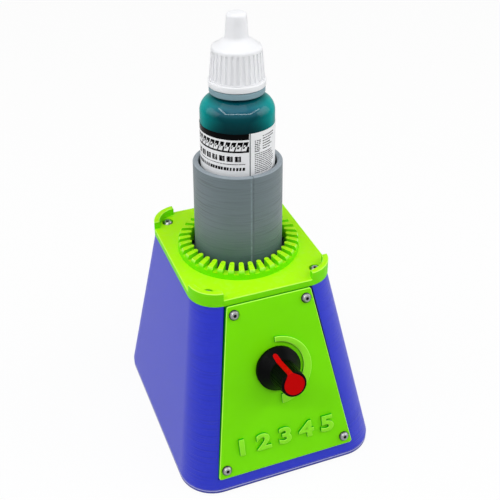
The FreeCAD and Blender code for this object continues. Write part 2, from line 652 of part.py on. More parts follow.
def turned(label, *profile):
    """A body turned from one profile of radius and height."""
    body = body_named(label)
    spun(body, sketch(body, [corners(*profile)], "XZ_Plane"))
    return body


# ---------------------------------------------------------------- primitives

def rod(name, radius, length, place=(0, 0, 0), axis=None, angle="90"):
    """A cylinder; an axis and an angle turn it from upright."""
    made = bind(doc.addObject("Part::Cylinder", name), Radius=radius, Height=length)
    return placed(made, place, axis, angle if axis else None)


def cuboid(name, x, y, z):
    """A box between two values along each axis."""
    made = doc.addObject("Part::Box", name)
    sides = ["(%s) - (%s)" % (high, low) for low, high in (x, y, z)]
    bind(made, Length=sides[0], Width=sides[1], Height=sides[2])
    return placed(made, (x[0], y[0], z[0]))


def cut_from(label, base, tool):
    made = doc.addObject("Part::Cut", label)
    made.Base, made.Tool, made.Label = base, tool, label
    return made


def fused(label, pieces):
    made = doc.addObject("Part::MultiFuse", label)
    made.Shapes, made.Label = pieces, label
    return made


def together(label, pieces):
    """Separate solids that share one node."""
    made = doc.addObject("Part::Compound", label)
    made.Links, made.Label = pieces, label
    return made


def screws(label, places, radius, height, shank, length):
    """A set of equal screws with round heads and hexagon sockets, each pointing down from its place."""
    screw = turned(label + "_one", (0, "-(%s)" % length), (shank, "-(%s)" % length), (shank, 0), (radius, 0),
                   (radius, "%s * 0.35" % height), ("%s * 0.62" % radius, height), (0, height))
    key = "%s * 0.36" % radius
    points = [("%s * cos(%d)" % (key, n * 60), "%s * sin(%d)" % (key, n * 60)) for n in range(6)]
    pocket(screw, sketch(screw, [corners(*points)], height=height), "%s * 0.6" % height)
    copies = []
    for n, place in enumerate(places):
        copy = doc.addObject("App::Link", "%s_%d" % (label, n + 1))
        copy.LinkedObject = screw
        copies.append(placed(copy, place))
    return together(label, copies)


def four(x, front, back, height):
    """Four places, mirrored about the middle plane."""
    return [(side + x, depth, height) for side in ("", "-") for depth in ("-" + front, back)]


# ---------------------------------------------------------------- housing

def make_housing():
    body = body_named("housing")
    foot = sketch(body, [block("-foot_half", "foot_half", "-foot_front", "foot_back", "foot_corner")],
                  height="foot_height")
    top = sketch(body, [block("-top_half", "top_half", "-top_depth", "top_depth", "top_corner")],
                 height="rim_height")
    lofted(body, [foot, top])
    foot_inside = block("wall - foot_half", "foot_half - wall", "wall - foot_front", "foot_back - wall",
                        "foot_corner - wall")
    top_inside = block("wall - top_half", "top_half - wall", "wall - top_depth", "top_depth - wall",
                       "top_corner - wall")
    lofted(body, [sketch(body, [foot_inside], height="foot_height"),
                  sketch(body, [top_inside], height="rim_height")], cut=True)

    posts = four("foot_post_x", "foot_post_front", "foot_post_back", 0)
    pad(body, sketch(body, [disc(x, y, "foot_post_radius") for x, y, z in posts], height="foot_height"),
        "foot_post_length")
    pocket(body, sketch(body, [disc(x, y, "foot_pilot_radius") for x, y, z in posts], height="foot_height"),
           "foot_post_length - foot_pilot_end", up=True)
    ears = four("lid_screw_x", "lid_screw_y", "lid_screw_y", 0)
    pad(body, sketch(body, [disc(x, y, "top_post_radius") for x, y, z in ears], height="rim_height"),
        "top_post_length", down=True)
    pocket(body, sketch(body, [disc(x, y, "shank_radius") for x, y, z in ears], height="rim_height"),
           "shank_length")

    slope = dict(role="XZ_Plane", turned=(1, 0, 0), angle="-" + FACE_TILT)
    face = (0, "foot_height", "foot_front")
    seat = (0, "foot_height - panel_sunk * sin(%s)" % FACE_TILT,
            "foot_front - panel_sunk * cos(%s)" % FACE_TILT)
    bosses = [disc(x, y, "panel_boss_radius") for x, y, z in panel_places()]
    pad(body, sketch(body, bosses, place=seat, **slope), "shank_length", down=True)
    pocket(body, sketch(body, [corners(
        ("-panel_low_half - panel_fit", "panel_low - panel_fit"),
        ("panel_low_half + panel_fit", "panel_low - panel_fit"),
        ("panel_high_half + panel_fit", "panel_high + panel_margin"),
        ("-panel_high_half - panel_fit", "panel_high + panel_margin"))], place=face, **slope), "panel_sunk")
    window = corners(("panel_margin - panel_low_half", "panel_low + panel_margin", "window_corner"),
                     ("panel_low_half - panel_margin", "panel_low + panel_margin", "window_corner"),
                     ("panel_high_half - panel_margin", "panel_high - panel_margin", "window_corner"),
                     ("panel_margin - panel_high_half", "panel_high - panel_margin", "window_corner"))
    pocket(body, sketch(body, [window], place=face, **slope), "wall * 2")
    holes = [disc(x, y, "shank_radius") for x, y, z in panel_places()]
    pocket(body, sketch(body, holes, place=face, **slope), "shank_length")
    pocket(body, sketch(body, [disc(0, "-jack_level", "jack_radius + hole_fit")], "XZ_Plane",
                        place=(0, "foot_height", "-foot_back"), turned=(1, 0, 0), angle="180 + " + REAR_TILT),
           "wall * 2")
    return in_housing(body)


def make_base_cover():
    body = body_named("base_cover")
    pad(body, sketch(body, [block("-foot_half", "foot_half", "-foot_front", "foot_back", "foot_corner")],
                     height="foot_gap"), "cover_thick")
    inset = "(wall + skirting_gap)"
    rim = "(wall + skirting_gap + skirting_thick)"
    side = ("skirting_end - foot_post_x", "foot_post_x - skirting_end")
    length = ("skirting_end - foot_post_front", "foot_post_back - skirting_end")
    edges = [block(*side, inset + " - foot_front", rim + " - foot_front"),
             block(*side, "foot_back - " + rim, "foot_back - " + inset),
             block("foot_half - " + rim, "foot_half - " + inset, *length),
             block(inset + " - foot_half", rim + " - foot_half", *length)]
    pad(body, sketch(body, edges, height="foot_height"), "skirting")
    stands = board_places()
    pad(body, sketch(body, [disc(x, y, "board_stand") for x, y, z in stands], height="foot_height"),
        "board_low - foot_height")
    pocket(body, sketch(body, [disc(x, y, "board_screw") for x, y, z in stands], height="board_low"),
           "board_low - foot_height")
    for radius, depth in (("cover_hole", "cover_thick"), ("cover_sink", "button_height")):
        holes = [disc(x, y, radius) for x, y, z in cover_places()]
        pocket(body, sketch(body, holes, height="foot_gap"), depth, up=True)
    pads = four("pad_x", "pad_front", "pad_back", 0)
    pocket(body, sketch(body, [disc(x, y, "pad_radius") for x, y, z in pads], height="foot_gap"),
           "pad_thick - foot_gap", up=True)
    return in_housing(body)


def board_places():
    """Where the circuit board is screwed down."""
    front = "board_front - board_inset"
    back = "board_inset + board_depth - board_front"
    return [(side + "(board_width / 2 - board_inset)", depth, "board_low + board_thick")
            for side in ("", "-") for depth in ("-(%s)" % front, back)]


def cover_places():
    """Where screws come up through the cover: four into the housing, four into the motor bracket."""
    return (four("foot_post_x", "foot_post_front", "foot_post_back", 0)
            + four("bracket_screw_x", "bracket_screw_y", "bracket_screw_y", 0))


def make_cover_screws():
    """The screws of the cover point up, so the set is turned over about the side-to-side axis."""
    turned_over = [(x, "-(%s)" % y, 0) for x, y, z in cover_places()]
    made = screws("base_screws", turned_over, "cover_head", "cover_head_height", "foot_pilot_radius",
                  "cover_screw_length")
    return placed(made, (0, "axis_shift", "foot_gap + button_height"), (1, 0, 0), "180")


def make_pads():
    for n, (x, y, z) in enumerate(four("pad_x", "pad_front", "pad_back", 0), 1):
        label = "rubber_foot_%d" % n
        foot = turned(label, (0, 0), ("pad_radius", 0, "pad_edge"), ("pad_radius", "pad_thick"),
                      (0, "pad_thick"))
        placed(foot, (x, "axis_shift + (%s)" % y, 0))


# ---------------------------------------------------------------- lid with its crown of teeth

def make_lid():
    body = body_named("top_lid")
    low = "rim_height"
    high = "rim_height + lid_thick"
    lip_top = high + " + lip_rise"
    plate = block("-lid_half", "lid_half", "-lid_depth", "lid_depth", "lid_corner")
    pad(body, sketch(body, [plate], height=low), "lid_thick")
    lip = block("lip_thick - lid_half", "lid_half - lip_thick", "lip_thick - lid_depth",
                "lid_depth - lip_thick", "lid_corner - lip_thick")
    pad(body, sketch(body, [plate, lip], height=high), "lip_rise")
    for x, y in (("lid_half + overrun", "lid_depth - lip_span_y"),
                 ("lid_half - lip_span_x", "lid_depth + overrun")):
        gap = block("-(%s)" % x, x, "-(%s)" % y, y)
        pocket(body, sketch(body, [gap], height=lip_top), "lip_rise")
    rounded(body, "print_edge", level(lip_top))
    outside = level(high)
    rounded(body, "print_edge", lambda edge: outside(edge) and on_outline(edge))

    pocket(body, sketch(body, [disc(0, 0, "well_radius")], height=low),
           "mesh_height - mesh_gap - rim_height", up=True)
    pocket(body, sketch(body, [disc(0, 0, "tip_radius")], height=high), "lid_thick * 2")
    spun(body, sketch(body, [corners(
        ("tip_radius", "mesh_height - mesh_gap"), ("ring_foot_radius", "mesh_height - mesh_gap"),
        ("ring_foot_radius", high), ("ring_radius", "ring_shoulder"), ("bar_radius", "bar_height"),
        ("tip_radius", "tip_height"))], "XZ_Plane"))

    keys = []
    for side in (1, -1):
        keys.append(block("-key_half", "key_half", *key_sides("top_depth", side)))
        for end in (1, -1):
            keys.append(block(*key_sides("top_half", side), *sorted_pair("key_near", "key_far", end)))
    pad(body, sketch(body, keys, height=low), "key_depth", down=True)
    ears = four("lid_screw_x", "lid_screw_y", "lid_screw_y", 0)
    for radius, depth in (("lid_sink_radius", "lid_sink"), ("shank_radius + hole_fit", "lid_thick * 2")):
        pocket(body, sketch(body, [disc(x, y, radius) for x, y, z in ears], height=high), depth)

    cut_low, cut_high = "mesh_height - overrun", "tip_height + overrun"
    groove, outer = "mesh_height + mesh_depth", "ring_foot_radius + overrun"
    slot = spun(body, sketch(body, [corners(
        ("slot_start", cut_low), ("crown_radius", cut_low), ("crown_radius", groove), ("sill_radius", groove),
        ("sill_radius", "sill_height"), (outer, "sill_height"), (outer, cut_high), ("slot_start", cut_high))],
        "XZ_Plane", turned=(0, 1, 0), angle="slot_phase"), "slot_angle", cut=True)
    ring_of(body, slot, "teeth")
    bar = "slot_phase + 180 / teeth"
    tip = pad(body, sketch(body, [disc("tip_radius * cos(%s)" % bar, "tip_radius * sin(%s)" % bar,
                                       "tip_radius * sin(180 / teeth - slot_angle / 2)")],
                           height="mesh_height - mesh_gap"), "tip_height - mesh_height + mesh_gap")
    ring_of(body, tip, "teeth")
    return in_housing(body)


def on_outline(edge):
    """Whether an edge lies along a straight side of the lid."""
    middle = edge.CenterOfMass
    return abs(middle.x) > value("lid_half") - 0.01 or abs(middle.y) > value("lid_depth") - 0.01


def key_sides(half, side):
    """The two faces of a key that fits inside a wall of the housing."""
    return sorted_pair("%s - wall - key_gap - key_thick" % half, "%s - wall - key_gap" % half, side)


def sorted_pair(near, far, side):
    """Two distances on one side of a plane, the smaller value first."""
    return (near, far) if side > 0 else ("-(%s)" % far, "-(%s)" % near)


# ---------------------------------------------------------------- front panel and speed control

def make_panel():
    body = body_named("front_panel")
    face = "panel_thick - panel_sunk"
    outline = corners(("-panel_low_half", "panel_low", "panel_corner"),
                      ("panel_low_half", "panel_low", "panel_corner"),
                      ("panel_high_half", "panel_high", "panel_corner"),
                      ("-panel_high_half", "panel_high", "panel_corner"))
    pad(body, sketch(body, [outline], height="-panel_sunk"), "panel_thick")
    rounded(body, "print_edge", level(face))
    holes = [disc(x, y, "shank_radius + hole_fit") for x, y, z in panel_places()]
    holes.append(disc(0, "knob_level", "bushing_radius + hole_fit"))
    pocket(body, sketch(body, holes, height=face), "panel_thick * 2")
    scale = between_arcs(("scale_x", "knob_level + scale_y", "scale_radius"),
                         ("scale_inner_x", "knob_level + scale_inner_y", "scale_inner_radius"),
                         "scale_low_end", "scale_high_end")
    pad(body, sketch(body, [scale], height=face), "scale_rise")
    rounded(body, "scale_edge", level(face + " + scale_rise"))
    return in_front(body)


def panel_places():
    top = "panel_thick - panel_sunk"
    return ([(side + "panel_screw_low_x", "panel_screw_low", top) for side in ("", "-")]
            + [(side + "panel_screw_high_x", "panel_screw_high", top) for side in ("", "-")])


def make_control():
    """The rotary speed control: everything that stays still when the knob turns."""
    bore = "spindle_radius + spindle_gap"
    back, rear = "-panel_sunk", "-panel_sunk - control_depth"
    in_front(turned("control_body", (bore, rear), ("control_radius", rear, "control_edge"),
                    ("control_radius", back, "control_edge"), (bore, back)), "knob_level")
    in_front(turned("control_bushing", (bore, back), ("bushing_radius", back),
                    ("bushing_radius", "bushing_top"), (bore, "bushing_top")), "knob_level")
    face = "panel_thick - panel_sunk"
    washer_top = face + " + control_washer_thick"
    in_front(turned("control_washer", ("bushing_radius", face), ("control_washer_radius", face),
                    ("control_washer_radius", washer_top), ("bushing_radius", washer_top)), "knob_level")
    nut = body_named("control_nut")
    pad(nut, sketch(nut, [hexagon("control_nut_radius"), disc(0, 0, "bushing_radius")], height=washer_top),
        "control_nut_thick")
    in_front(nut, "knob_level")
    behind = "-panel_sunk - wafer_back"
    tabs = []
    for n, middle in enumerate(("-tab_pitch", "0", "tab_pitch")):
        tabs.append(cuboid("control_tab_%d" % n, (middle + " - tab_half", middle + " + tab_half"),
                           ("-control_radius - tab_reach", "-control_radius + tab_half"),
                           (behind + " - tab_thick", behind)))
    wafer = cuboid("control_wafer_block", ("-wafer_half", "wafer_half"),
                   ("-control_radius - wafer_reach", "-control_radius + wafer_reach"),
                   (behind, behind + " + wafer_thick"))
    can = rod("control_outline", "control_radius", "control_depth", (0, 0, rear))
    in_front(cut_from("control_terminals", fused("control_tabs", tabs + [wafer]), can), "knob_level")


def hexagon(across, x="0", y="0"):
    """A hexagon outline from the distance between its centre and a corner."""
    return corners(*[("%s + %s * cos(%d)" % (x, across, n * 60), "%s + %s * sin(%d)" % (y, across, n * 60))
                     for n in range(6)])


def make_knob():
    """The knob is cut by its coloured inlay: a disc on top, drawn out to a stripe down to the skirt."""
    blank = turned("knob_blank", (0, "spindle_top"), ("spindle_radius", "spindle_top"),
                   ("spindle_radius", "hollow_top"), ("hollow_radius", "hollow_top"),
                   ("hollow_radius", "skirt_low"), ("skirt_radius", "skirt_low"),
                   ("skirt_radius", "skirt_high - knob_edge"),
                   ("skirt_radius - knob_edge", "skirt_high"), ("column_foot", "crest", "crest_round"),
                   ("column_radius", "column_top", "knob_edge"), (0, "column_top"))
    low, high = "crest + flute_low", "column_top - flute_high"
    flute = corners(("column_foot - flute_depth", low), ("column_radius - flute_depth", high),
                    ("column_radius + overrun", high), ("column_foot + overrun", low))
    plan = sketch(blank, [flute], "XZ_Plane", turned=(0, 1, 0), angle="90 + pointer_angle + 90 / flutes")
    ring_of(blank, spun(blank, plan, "90 / flutes", cut=True), "flutes")
    in_front(blank, "knob_level")

    pointer = body_named("knob_pointer")
    low, high = "column_top - inlay_depth", "column_top + inlay_rise"
    slope = "(crest - skirt_high) / (skirt_radius - knob_edge - column_foot)"
    on_skirt = "skirt_high + (skirt_radius - knob_edge - stripe_reach) * " + slope
    stripe = corners(("inlay_start", low), ("column_radius - inlay_depth", low),
                     ("column_foot - inlay_depth", "crest"), ("stripe_reach", on_skirt + " - inlay_depth"),
                     ("stripe_reach", on_skirt + " + stripe_rise"),
                     ("column_foot + stripe_rise", "crest + stripe_rise"),
                     ("column_radius + stripe_rise", "column_top - stripe_rise"), ("column_radius", high),
                     ("inlay_start", high))
    plan = sketch(pointer, [stripe], "XZ_Plane", turned=(0, 1, 0), angle="90 + pointer_angle")
    feature(pointer, "Pad", plan, Length="stripe_half * 2").SideType = "Symmetric"
    reach = value("stripe_reach") - 0.01
    rounded(pointer, "stripe_half * 0.9",
            lambda edge: all(vertex.Point.cross(V(0, 0, 1)).Length > reach for vertex in edge.Vertexes)
            and abs(edge.tangentAt(edge.FirstParameter).z) > 0.9)
    spun(pointer, sketch(pointer, [block(0, "disc_radius", low, high)], "XZ_Plane"))
    corner = "(atan(column_radius / stripe_half) - acos(disc_radius / sqrt(column_radius^2 + stripe_half^2)))"
    touch = ("disc_radius * cos(%s)" % corner, "disc_radius * sin(%s)" % corner)
    drop = corners((touch[0], touch[1]), ("stripe_half", "column_radius"), ("-stripe_half", "column_radius"),
                   ("-(%s)" % touch[0], touch[1]))
    pad(pointer, sketch(pointer, [drop], height=low, turned=(0, 0, 1), angle="pointer_angle"),
        "inlay_depth + inlay_rise")
    in_front(pointer, "knob_level")
    cut_from("knob_body", blank, pointer)

    foot = "-panel_sunk - control_depth"
    in_front(turned("spindle", (0, foot), ("spindle_radius", foot), ("spindle_radius", "spindle_top"),
                    (0, "spindle_top")), "knob_level")


# ---------------------------------------------------------------- cup and its bearing

def make_cup():
    body = turned("cup", (0, "cup_floor"), ("cup_bore", "cup_floor", "cup_corner"),
                  ("cup_bore", "cup_rim", "rim_edge"), ("cup_rim_radius", "cup_rim", "rim_edge"),
                  ("cup_radius", "flange_top"), ("flange_radius", "flange_top"),
                  ("flange_radius", "flange_low"), ("cone_radius", "flange_low"), ("boss_radius", "cone_low"),
                  ("boss_radius", "boss_low"), ("race_outer", "boss_low"), ("race_outer", "race_top"),
                  ("relief_radius", "race_top"), ("relief_radius", "relief_top", "relief_round"),
                  (0, "relief_top"))
    turn = dict(turned=(0, 1, 0), angle="slot_phase")
    rib = block("rib_inner", "rib_outer", "flange_top - rib_root", "rib_top")
    ring_of(body, spun(body, sketch(body, [rib], "XZ_Plane", **turn), "rib_angle"), "teeth")
    grip = block("grip_radius", "cup_bore + grip_root", "-grip_half", "grip_half")
    ring_of(body, pad(body, sketch(body, [grip], height="cup_floor"), "grip_top - cup_floor"), "grips")
    return in_cup(body)


def make_bearing():
    low = "(race_top - race_width)"
    middle = "race_top - race_width / 2"
    for label, inner, outer in (("bearing_outer_race", "race_outer_land", "race_outer"),
                                ("bearing_inner_race", "race_inner", "race_inner_land")):
        race = body_named(label)
        spun(race, sketch(race, [block(inner, outer, low, "race_top")], "XZ_Plane"))
        groove = disc("ball_circle", middle, "ball_radius + ball_gap")
        spun(race, sketch(race, [groove], "XZ_Plane"), cut=True)
        in_cup(race)
    count = int(value("balls"))
    balls, pockets = [], []
    for n in range(count):
        angle = "%d * 360 / balls" % n
        place = ("ball_circle * cos(%s)" % angle, "ball_circle * sin(%s)" % angle, middle)
        balls.append(placed(bind(doc.addObject("Part::Sphere", "ball_%d" % n), Radius="ball_radius"), place))
        hollow = bind(doc.addObject("Part::Sphere", "cage_pocket_%d" % n), Radius="ball_radius + ball_gap")
        pockets.append(placed(hollow, place))
    in_cup(together("bearing_balls", balls))
    inner, outer = "ball_circle - cage_half", "ball_circle + cage_half"
    ring = turned("cage_ring", (inner, middle + " + cage_low"), (outer, middle + " + cage_low"),
                  (outer, middle + " + cage_high"), (inner, middle + " + cage_high"))
    in_cup(cut_from("bearing_cage", ring, together("cage_pockets", pockets)))


# ---------------------------------------------------------------- crank

def in_crank(thing):
    """The crank: +X towards the lean of the cup, heights from the nutation point."""
    return placed(thing, (0, "axis_shift", "mesh_height"), (0, 0, 1), "lean_towards")


def make_crank():
    body = body_named("crank_hub")
    bore = "motor_shaft_radius"
    spun(body, sketch(body, [corners(
        (bore, "hub_low - mesh_height"), ("hub_radius", "hub_low - mesh_height", "hub_edge"),
        ("hub_radius", "hub_high - mesh_height", "hub_edge"), (0, "hub_high - mesh_height"),
        (0, "motor_shaft_top - mesh_height"), (bore, "motor_shaft_top - mesh_height"))], "XZ_Plane"))
    spun(body, sketch(body, [block("hub_radius - overrun", "weight_radius", "weight_low - mesh_height",
                                   "weight_high - mesh_height")], "XZ_Plane"), "weight_angle")
    tilt = dict(turned=(0, 0, 1), angle="-lean")
    seat = "race_top - race_width"
    journal = corners((0, "shoulder_low"), ("shoulder_radius", "shoulder_low"), ("shoulder_radius", seat),
                      ("race_inner", seat), ("race_inner", "race_top"), (0, "race_top"))
    spun(body, sketch(body, [journal], "XZ_Plane", **tilt))
    spun(body, sketch(body, [block(0, "journal_screw_radius", "race_top - journal_screw_length", "race_top")],
                      "XZ_Plane", **tilt), cut=True)
    pocket(body, sketch(body, [disc(0, "grub_level - mesh_height", "grub_radius")], "XZ_Plane"),
           "hub_radius + overrun", up=True)
    in_crank(body)

    hole = "journal_screw_radius + hole_fit"
    washer = turned("journal_washer", (hole, "race_top"), ("washer_radius", "race_top"),
                    ("washer_radius", "race_top + washer_thick"), (hole, "race_top + washer_thick"))
    in_cup(washer)
    in_cup(screws("journal_screw", [(0, 0, "race_top + washer_thick")], "head_radius", "head_height",
                  "journal_screw_radius", "journal_screw_length"))
    grub = body_named("crank_grub_screw")
    flat = "grub_level - mesh_height"
    pad(grub, sketch(grub, [disc(0, flat, "grub_radius")], "XZ_Plane", place=(0, 0, "motor_shaft_radius")),
        "hub_radius - grub_short")
    pocket(grub, sketch(grub, [hexagon("grub_key", "0", flat)], "XZ_Plane",
                        place=(0, 0, "motor_shaft_radius + hub_radius - grub_short")), "grub_key_depth")
    in_crank(grub)
    foot = "motor_low + can_wall"
    in_housing(turned("motor_shaft", (0, foot), ("motor_shaft_radius", foot),
                      ("motor_shaft_radius", "motor_shaft_top"), (0, "motor_shaft_top")))


# ---------------------------------------------------------------- motor, bracket, board and power inlet

def make_motor():
    bore = "motor_shaft_radius + spindle_gap"
    nose, under = "motor_high + motor_nose", "motor_high - can_wall"
    in_housing(turned("motor_can", ("motor_radius - can_wall", "motor_low"), ("motor_radius", "motor_low"),
                      ("motor_radius", "motor_high", "motor_round"), ("motor_nose_radius", "motor_high"),
                      ("motor_nose_radius", nose), (bore, nose), (bore, "motor_high - motor_bush"),
                      ("motor_nose_radius", "motor_high - motor_bush"), ("motor_nose_radius", under),
                      ("motor_radius - can_wall", under)))
    edge, end = "motor_radius - end_cap_inset", "motor_low - end_cap_thick"
    in_housing(turned("motor_end_cap", (0, end), (edge, end, "end_cap_edge"), (edge, "motor_low"),
                      (0, "motor_low")))
    tabs = []
    for n, middle in enumerate(("-motor_tab_x", "motor_tab_x")):
        tabs.append(cuboid("motor_tab_%d" % n, (middle + " - motor_tab_half", middle + " + motor_tab_half"),
                           ("-motor_tab_thick / 2", "motor_tab_thick / 2"),
                           (end + " - motor_tab_length", end)))
    in_housing(together("motor_terminals", tabs))

    body = body_named("motor_bracket")
    low, step, high = "foot_height", "foot_height + bridge_step", "motor_high + bridge_thick"
    leg = "bridge_half - bridge_thick"
    right = [("bridge_foot", low), ("bridge_foot", step, "bridge_step_round"),
             ("bridge_half", step, "bridge_inner_round"), ("bridge_half", high, "bridge_round")]
    left = [("-(%s)" % point[0],) + point[1:] for point in reversed(right)]
    arch = [("-(%s)" % leg, low), ("-(%s)" % leg, "motor_high", "bridge_fillet"),
            (leg, "motor_high", "bridge_fillet"), (leg, low)]
    plate = pad(body, sketch(body, [corners(*right, *left, *arch)], "XZ_Plane"), "bridge_depth * 2")
    plate.SideType = "Symmetric"
    holes = [disc(0, 0, "motor_nose_radius + hole_fit")]
    holes += [disc(side + "motor_screw_pitch", 0, "motor_screw_hole") for side in ("", "-")]
    pocket(body, sketch(body, holes, height=high), "bridge_thick + overrun")
    feet = four("bracket_screw_x", "bracket_screw_y", "bracket_screw_y", 0)
    pocket(body, sketch(body, [disc(x, y, "bridge_pilot") for x, y, z in feet], height=low), "bridge_step",
           up=True)
    pocket(body, sketch(body, [block("-bridge_window_half", "bridge_window_half", "bridge_window_low",
                                     "motor_high - bridge_window_high", "bridge_round")], "YZ_Plane"))
    in_housing(body)
    places = [(side + "motor_screw_pitch", 0, high) for side in ("", "-")]
    in_housing(screws("motor_screws", places, "motor_screw_head", "motor_head_height", "motor_screw_radius",
                      "bridge_thick"))


def make_board():
    left, right = "-board_width / 2", "board_width / 2"
    front, back = "-board_front", "board_depth - board_front"
    top = "board_low + board_thick"
    body = body_named("control_board")
    pad(body, sketch(body, [block(left, right, front, back, "board_corner")], height="board_low"),
        "board_thick")
    pocket(body, sketch(body, [disc(x, y, "board_hole") for x, y, z in board_places()], height=top),
           "board_thick * 2")
    in_housing(body)
    in_housing(screws("board_screws", board_places(), "button_radius", "button_height", "board_screw",
                      "board_thick + board_low - foot_height - overrun"))
    can = turned("capacitor", (0, 0), ("can_radius", 0, "can_edge"), ("can_radius", "can_height", "can_edge"),
                 (0, "can_height"))
    placed(can, ("-can_x", "axis_shift - board_front + can_back", top))
    wide, half = ("-chip_half", "chip_half"), "chip_depth / 2"
    chip = fused("power_transistor", [cuboid("transistor_case", wide, ("-" + half, half), (0, "chip_tall")),
                                      cuboid("transistor_tab", wide, (half + " - chip_tab_thick", half),
                                             ("chip_tall", "chip_tab_top"))])
    placed(chip, ("chip_x", "axis_shift + %s - chip_inset" % back, top))
    fins = body_named("heat_sink")
    faces = ("sink_half", "sink_half - fin_thick", "fin_near + fin_thick", "fin_near")
    right_fins = [(faces[0], "sink_depth"), (faces[1], "sink_depth"), (faces[1], "sink_base"),
                  (faces[2], "sink_base"), (faces[2], "sink_depth"), (faces[3], "sink_depth"),
                  (faces[3], "sink_base")]
    left_fins = [("-(%s)" % x, y) for x, y in reversed(right_fins)]
    outline = corners(("-sink_half", 0), ("sink_half", 0), *right_fins, *left_fins)
    pad(fins, sketch(fins, [outline]), "sink_tall")
    placed(fins, ("chip_x", "axis_shift + %s - chip_inset + %s" % (back, half), top))
    blocks = []
    for n, x in enumerate(("-block_x", "block_x")):
        case = cuboid("terminal_case_%d" % n, (x + " - block_half", x + " + block_half"),
                      ("-block_half_depth", "block_half_depth"), (0, "block_tall"))
        wells = [rod("terminal_well_%d_%d" % (n, k), "well_hole", "block_tall", (x + step, 0, "well_low"))
                 for k, step in enumerate((" - well_half_pitch", " + well_half_pitch"))]
        blocks.append(cut_from("terminal_block_%d" % n, case, together("terminal_wells_%d" % n, wells)))
    placed(together("terminal_blocks", blocks), (0, "axis_shift - board_front + block_inset", top))


def make_inlet():
    floor = "jack_flange_thick - socket_depth"
    in_rear(turned("power_inlet", (0, "-jack_depth"), ("jack_radius", "-jack_depth"), ("jack_radius", 0),
                   ("jack_flange", 0), ("jack_flange", "jack_flange_thick", "inlet_edge"),
                   ("socket_radius", "jack_flange_thick"), ("socket_radius", floor), (0, floor)))
    in_rear(turned("inlet_pin", (0, floor), ("pin_radius", floor), ("pin_radius", "pin_top", "pin_edge"),
                   (0, "pin_top")))
    nut = body_named("inlet_nut")
    inside = "-wall * cos(%s) - spindle_gap" % REAR_TILT
    pad(nut, sketch(nut, [hexagon("nut_across / 2 / cos(30)"), disc(0, 0, "jack_radius")], height=inside),
        "inlet_nut_thick", down=True)
    in_rear(nut)


# ---------------------------------------------------------------- bottle

def make_bottle():
    inner, floor = "bottle_radius - bottle_wall", "bottle_low + bottle_wall"
    throat, neck = "neck_radius - neck_wall", "neck_ring_radius - ring_reach"
    in_cup(turned("bottle_body", (0, "bottle_low"), ("bottle_radius", "bottle_low", "bottle_heel"),
                  ("bottle_radius", "bottle_shoulder + shoulder_rise", "shoulder_round"), (neck, "neck_foot"),
                  (neck, "neck_ring_low"), ("neck_ring_radius", "neck_ring_low", "bottle_edge"),
                  ("neck_ring_radius", "neck_ring_high", "bottle_edge"), ("neck_radius", "neck_ring_high"),
                  ("neck_radius", "neck_top"), (throat, "neck_top"),
                  (throat, "neck_foot - throat_drop", "throat_round"),
                  (inner, "bottle_shoulder + shoulder_inner_rise", "shoulder_inner_round"),
                  (inner, floor, "floor_round"), (0, floor)))
    surface = "paint_top - floor_round"
    in_cup(turned("paint", (0, floor), (inner + " - floor_round", floor), (inner, floor + " + floor_round"),
                  (inner, surface), (0, surface)))
    flange = "neck_top + tip_flange"
    in_cup(turned("dropper_tip", ("tip_bore", "neck_top - tip_depth"), (throat, "neck_top - tip_depth"),
                  (throat, "neck_top"), ("neck_radius", "neck_top"), ("neck_radius", flange),
                  ("tip_foot", flange, "throat_round"), ("tip_middle", "neck_top + tip_step"),
                  ("tip_end", "cap_top - tip_short"), ("tip_bore", "cap_top - tip_short")))


def make_cap():
    fit = "neck_radius + cap_fit"
    body = turned("bottle_cap", (fit, "cap_low"), ("cap_ring_radius", "cap_low", "cap_edge"),
                  ("cap_ring_radius", "cap_ring_top", "cap_edge"),
                  ("cap_foot_radius", "cap_ring_top + cap_step"), ("cap_radius", "cap_shoulder", "cap_round"),
                  ("nozzle_foot_radius", "nozzle_low", "nozzle_round"),
                  ("nozzle_radius", "cap_top", "nozzle_top_round"), (0, "cap_top"), (0, "cap_top - cap_wall"),
                  ("nozzle_bore", "cap_top - cap_wall"), ("nozzle_bore_foot", "nozzle_low - cap_roof"),
                  (fit, "cap_shoulder - cap_roof_drop"))
    low, high = "cap_ring_top + cap_rib_low", "cap_shoulder - cap_rib_high"
    slope = "(cap_foot_radius - cap_radius) / (cap_shoulder - cap_ring_top)"
    foot = "cap_foot_radius - cap_rib_depth"
    notch = corners((foot, low), ("%s - (%s) * (%s - (%s))" % (foot, slope, high, low), high),
                    ("cap_foot_radius + overrun", high), ("cap_foot_radius + overrun", low))
    ring_of(body, spun(body, sketch(body, [notch], "XZ_Plane"), "180 / cap_ribs", cut=True), "cap_ribs")
    return in_cup(body)


# ---------------------------------------------------------------- the whole object

NODES = ["housing", "base_cover", "base_screws", "rubber_foot_1", "rubber_foot_2", "rubber_foot_3",
         "rubber_foot_4", "top_lid", "lid_screws", "front_panel", "panel_screws", "control_body",
         "control_bushing", "control_washer", "control_nut", "control_terminals", "knob_body",
         "knob_pointer", "spindle", "cup", "bearing_outer_race", "bearing_inner_race", "bearing_balls",
         "bearing_cage", "crank_hub", "journal_washer", "journal_screw", "crank_grub_screw", "motor_shaft",
         "motor_can", "motor_end_cap", "motor_terminals", "motor_bracket", "motor_screws", "control_board",
         "board_screws", "capacitor", "power_transistor", "heat_sink", "terminal_blocks", "power_inlet",
         "inlet_pin", "inlet_nut", "bottle_body", "paint", "dropper_tip", "bottle_cap"]


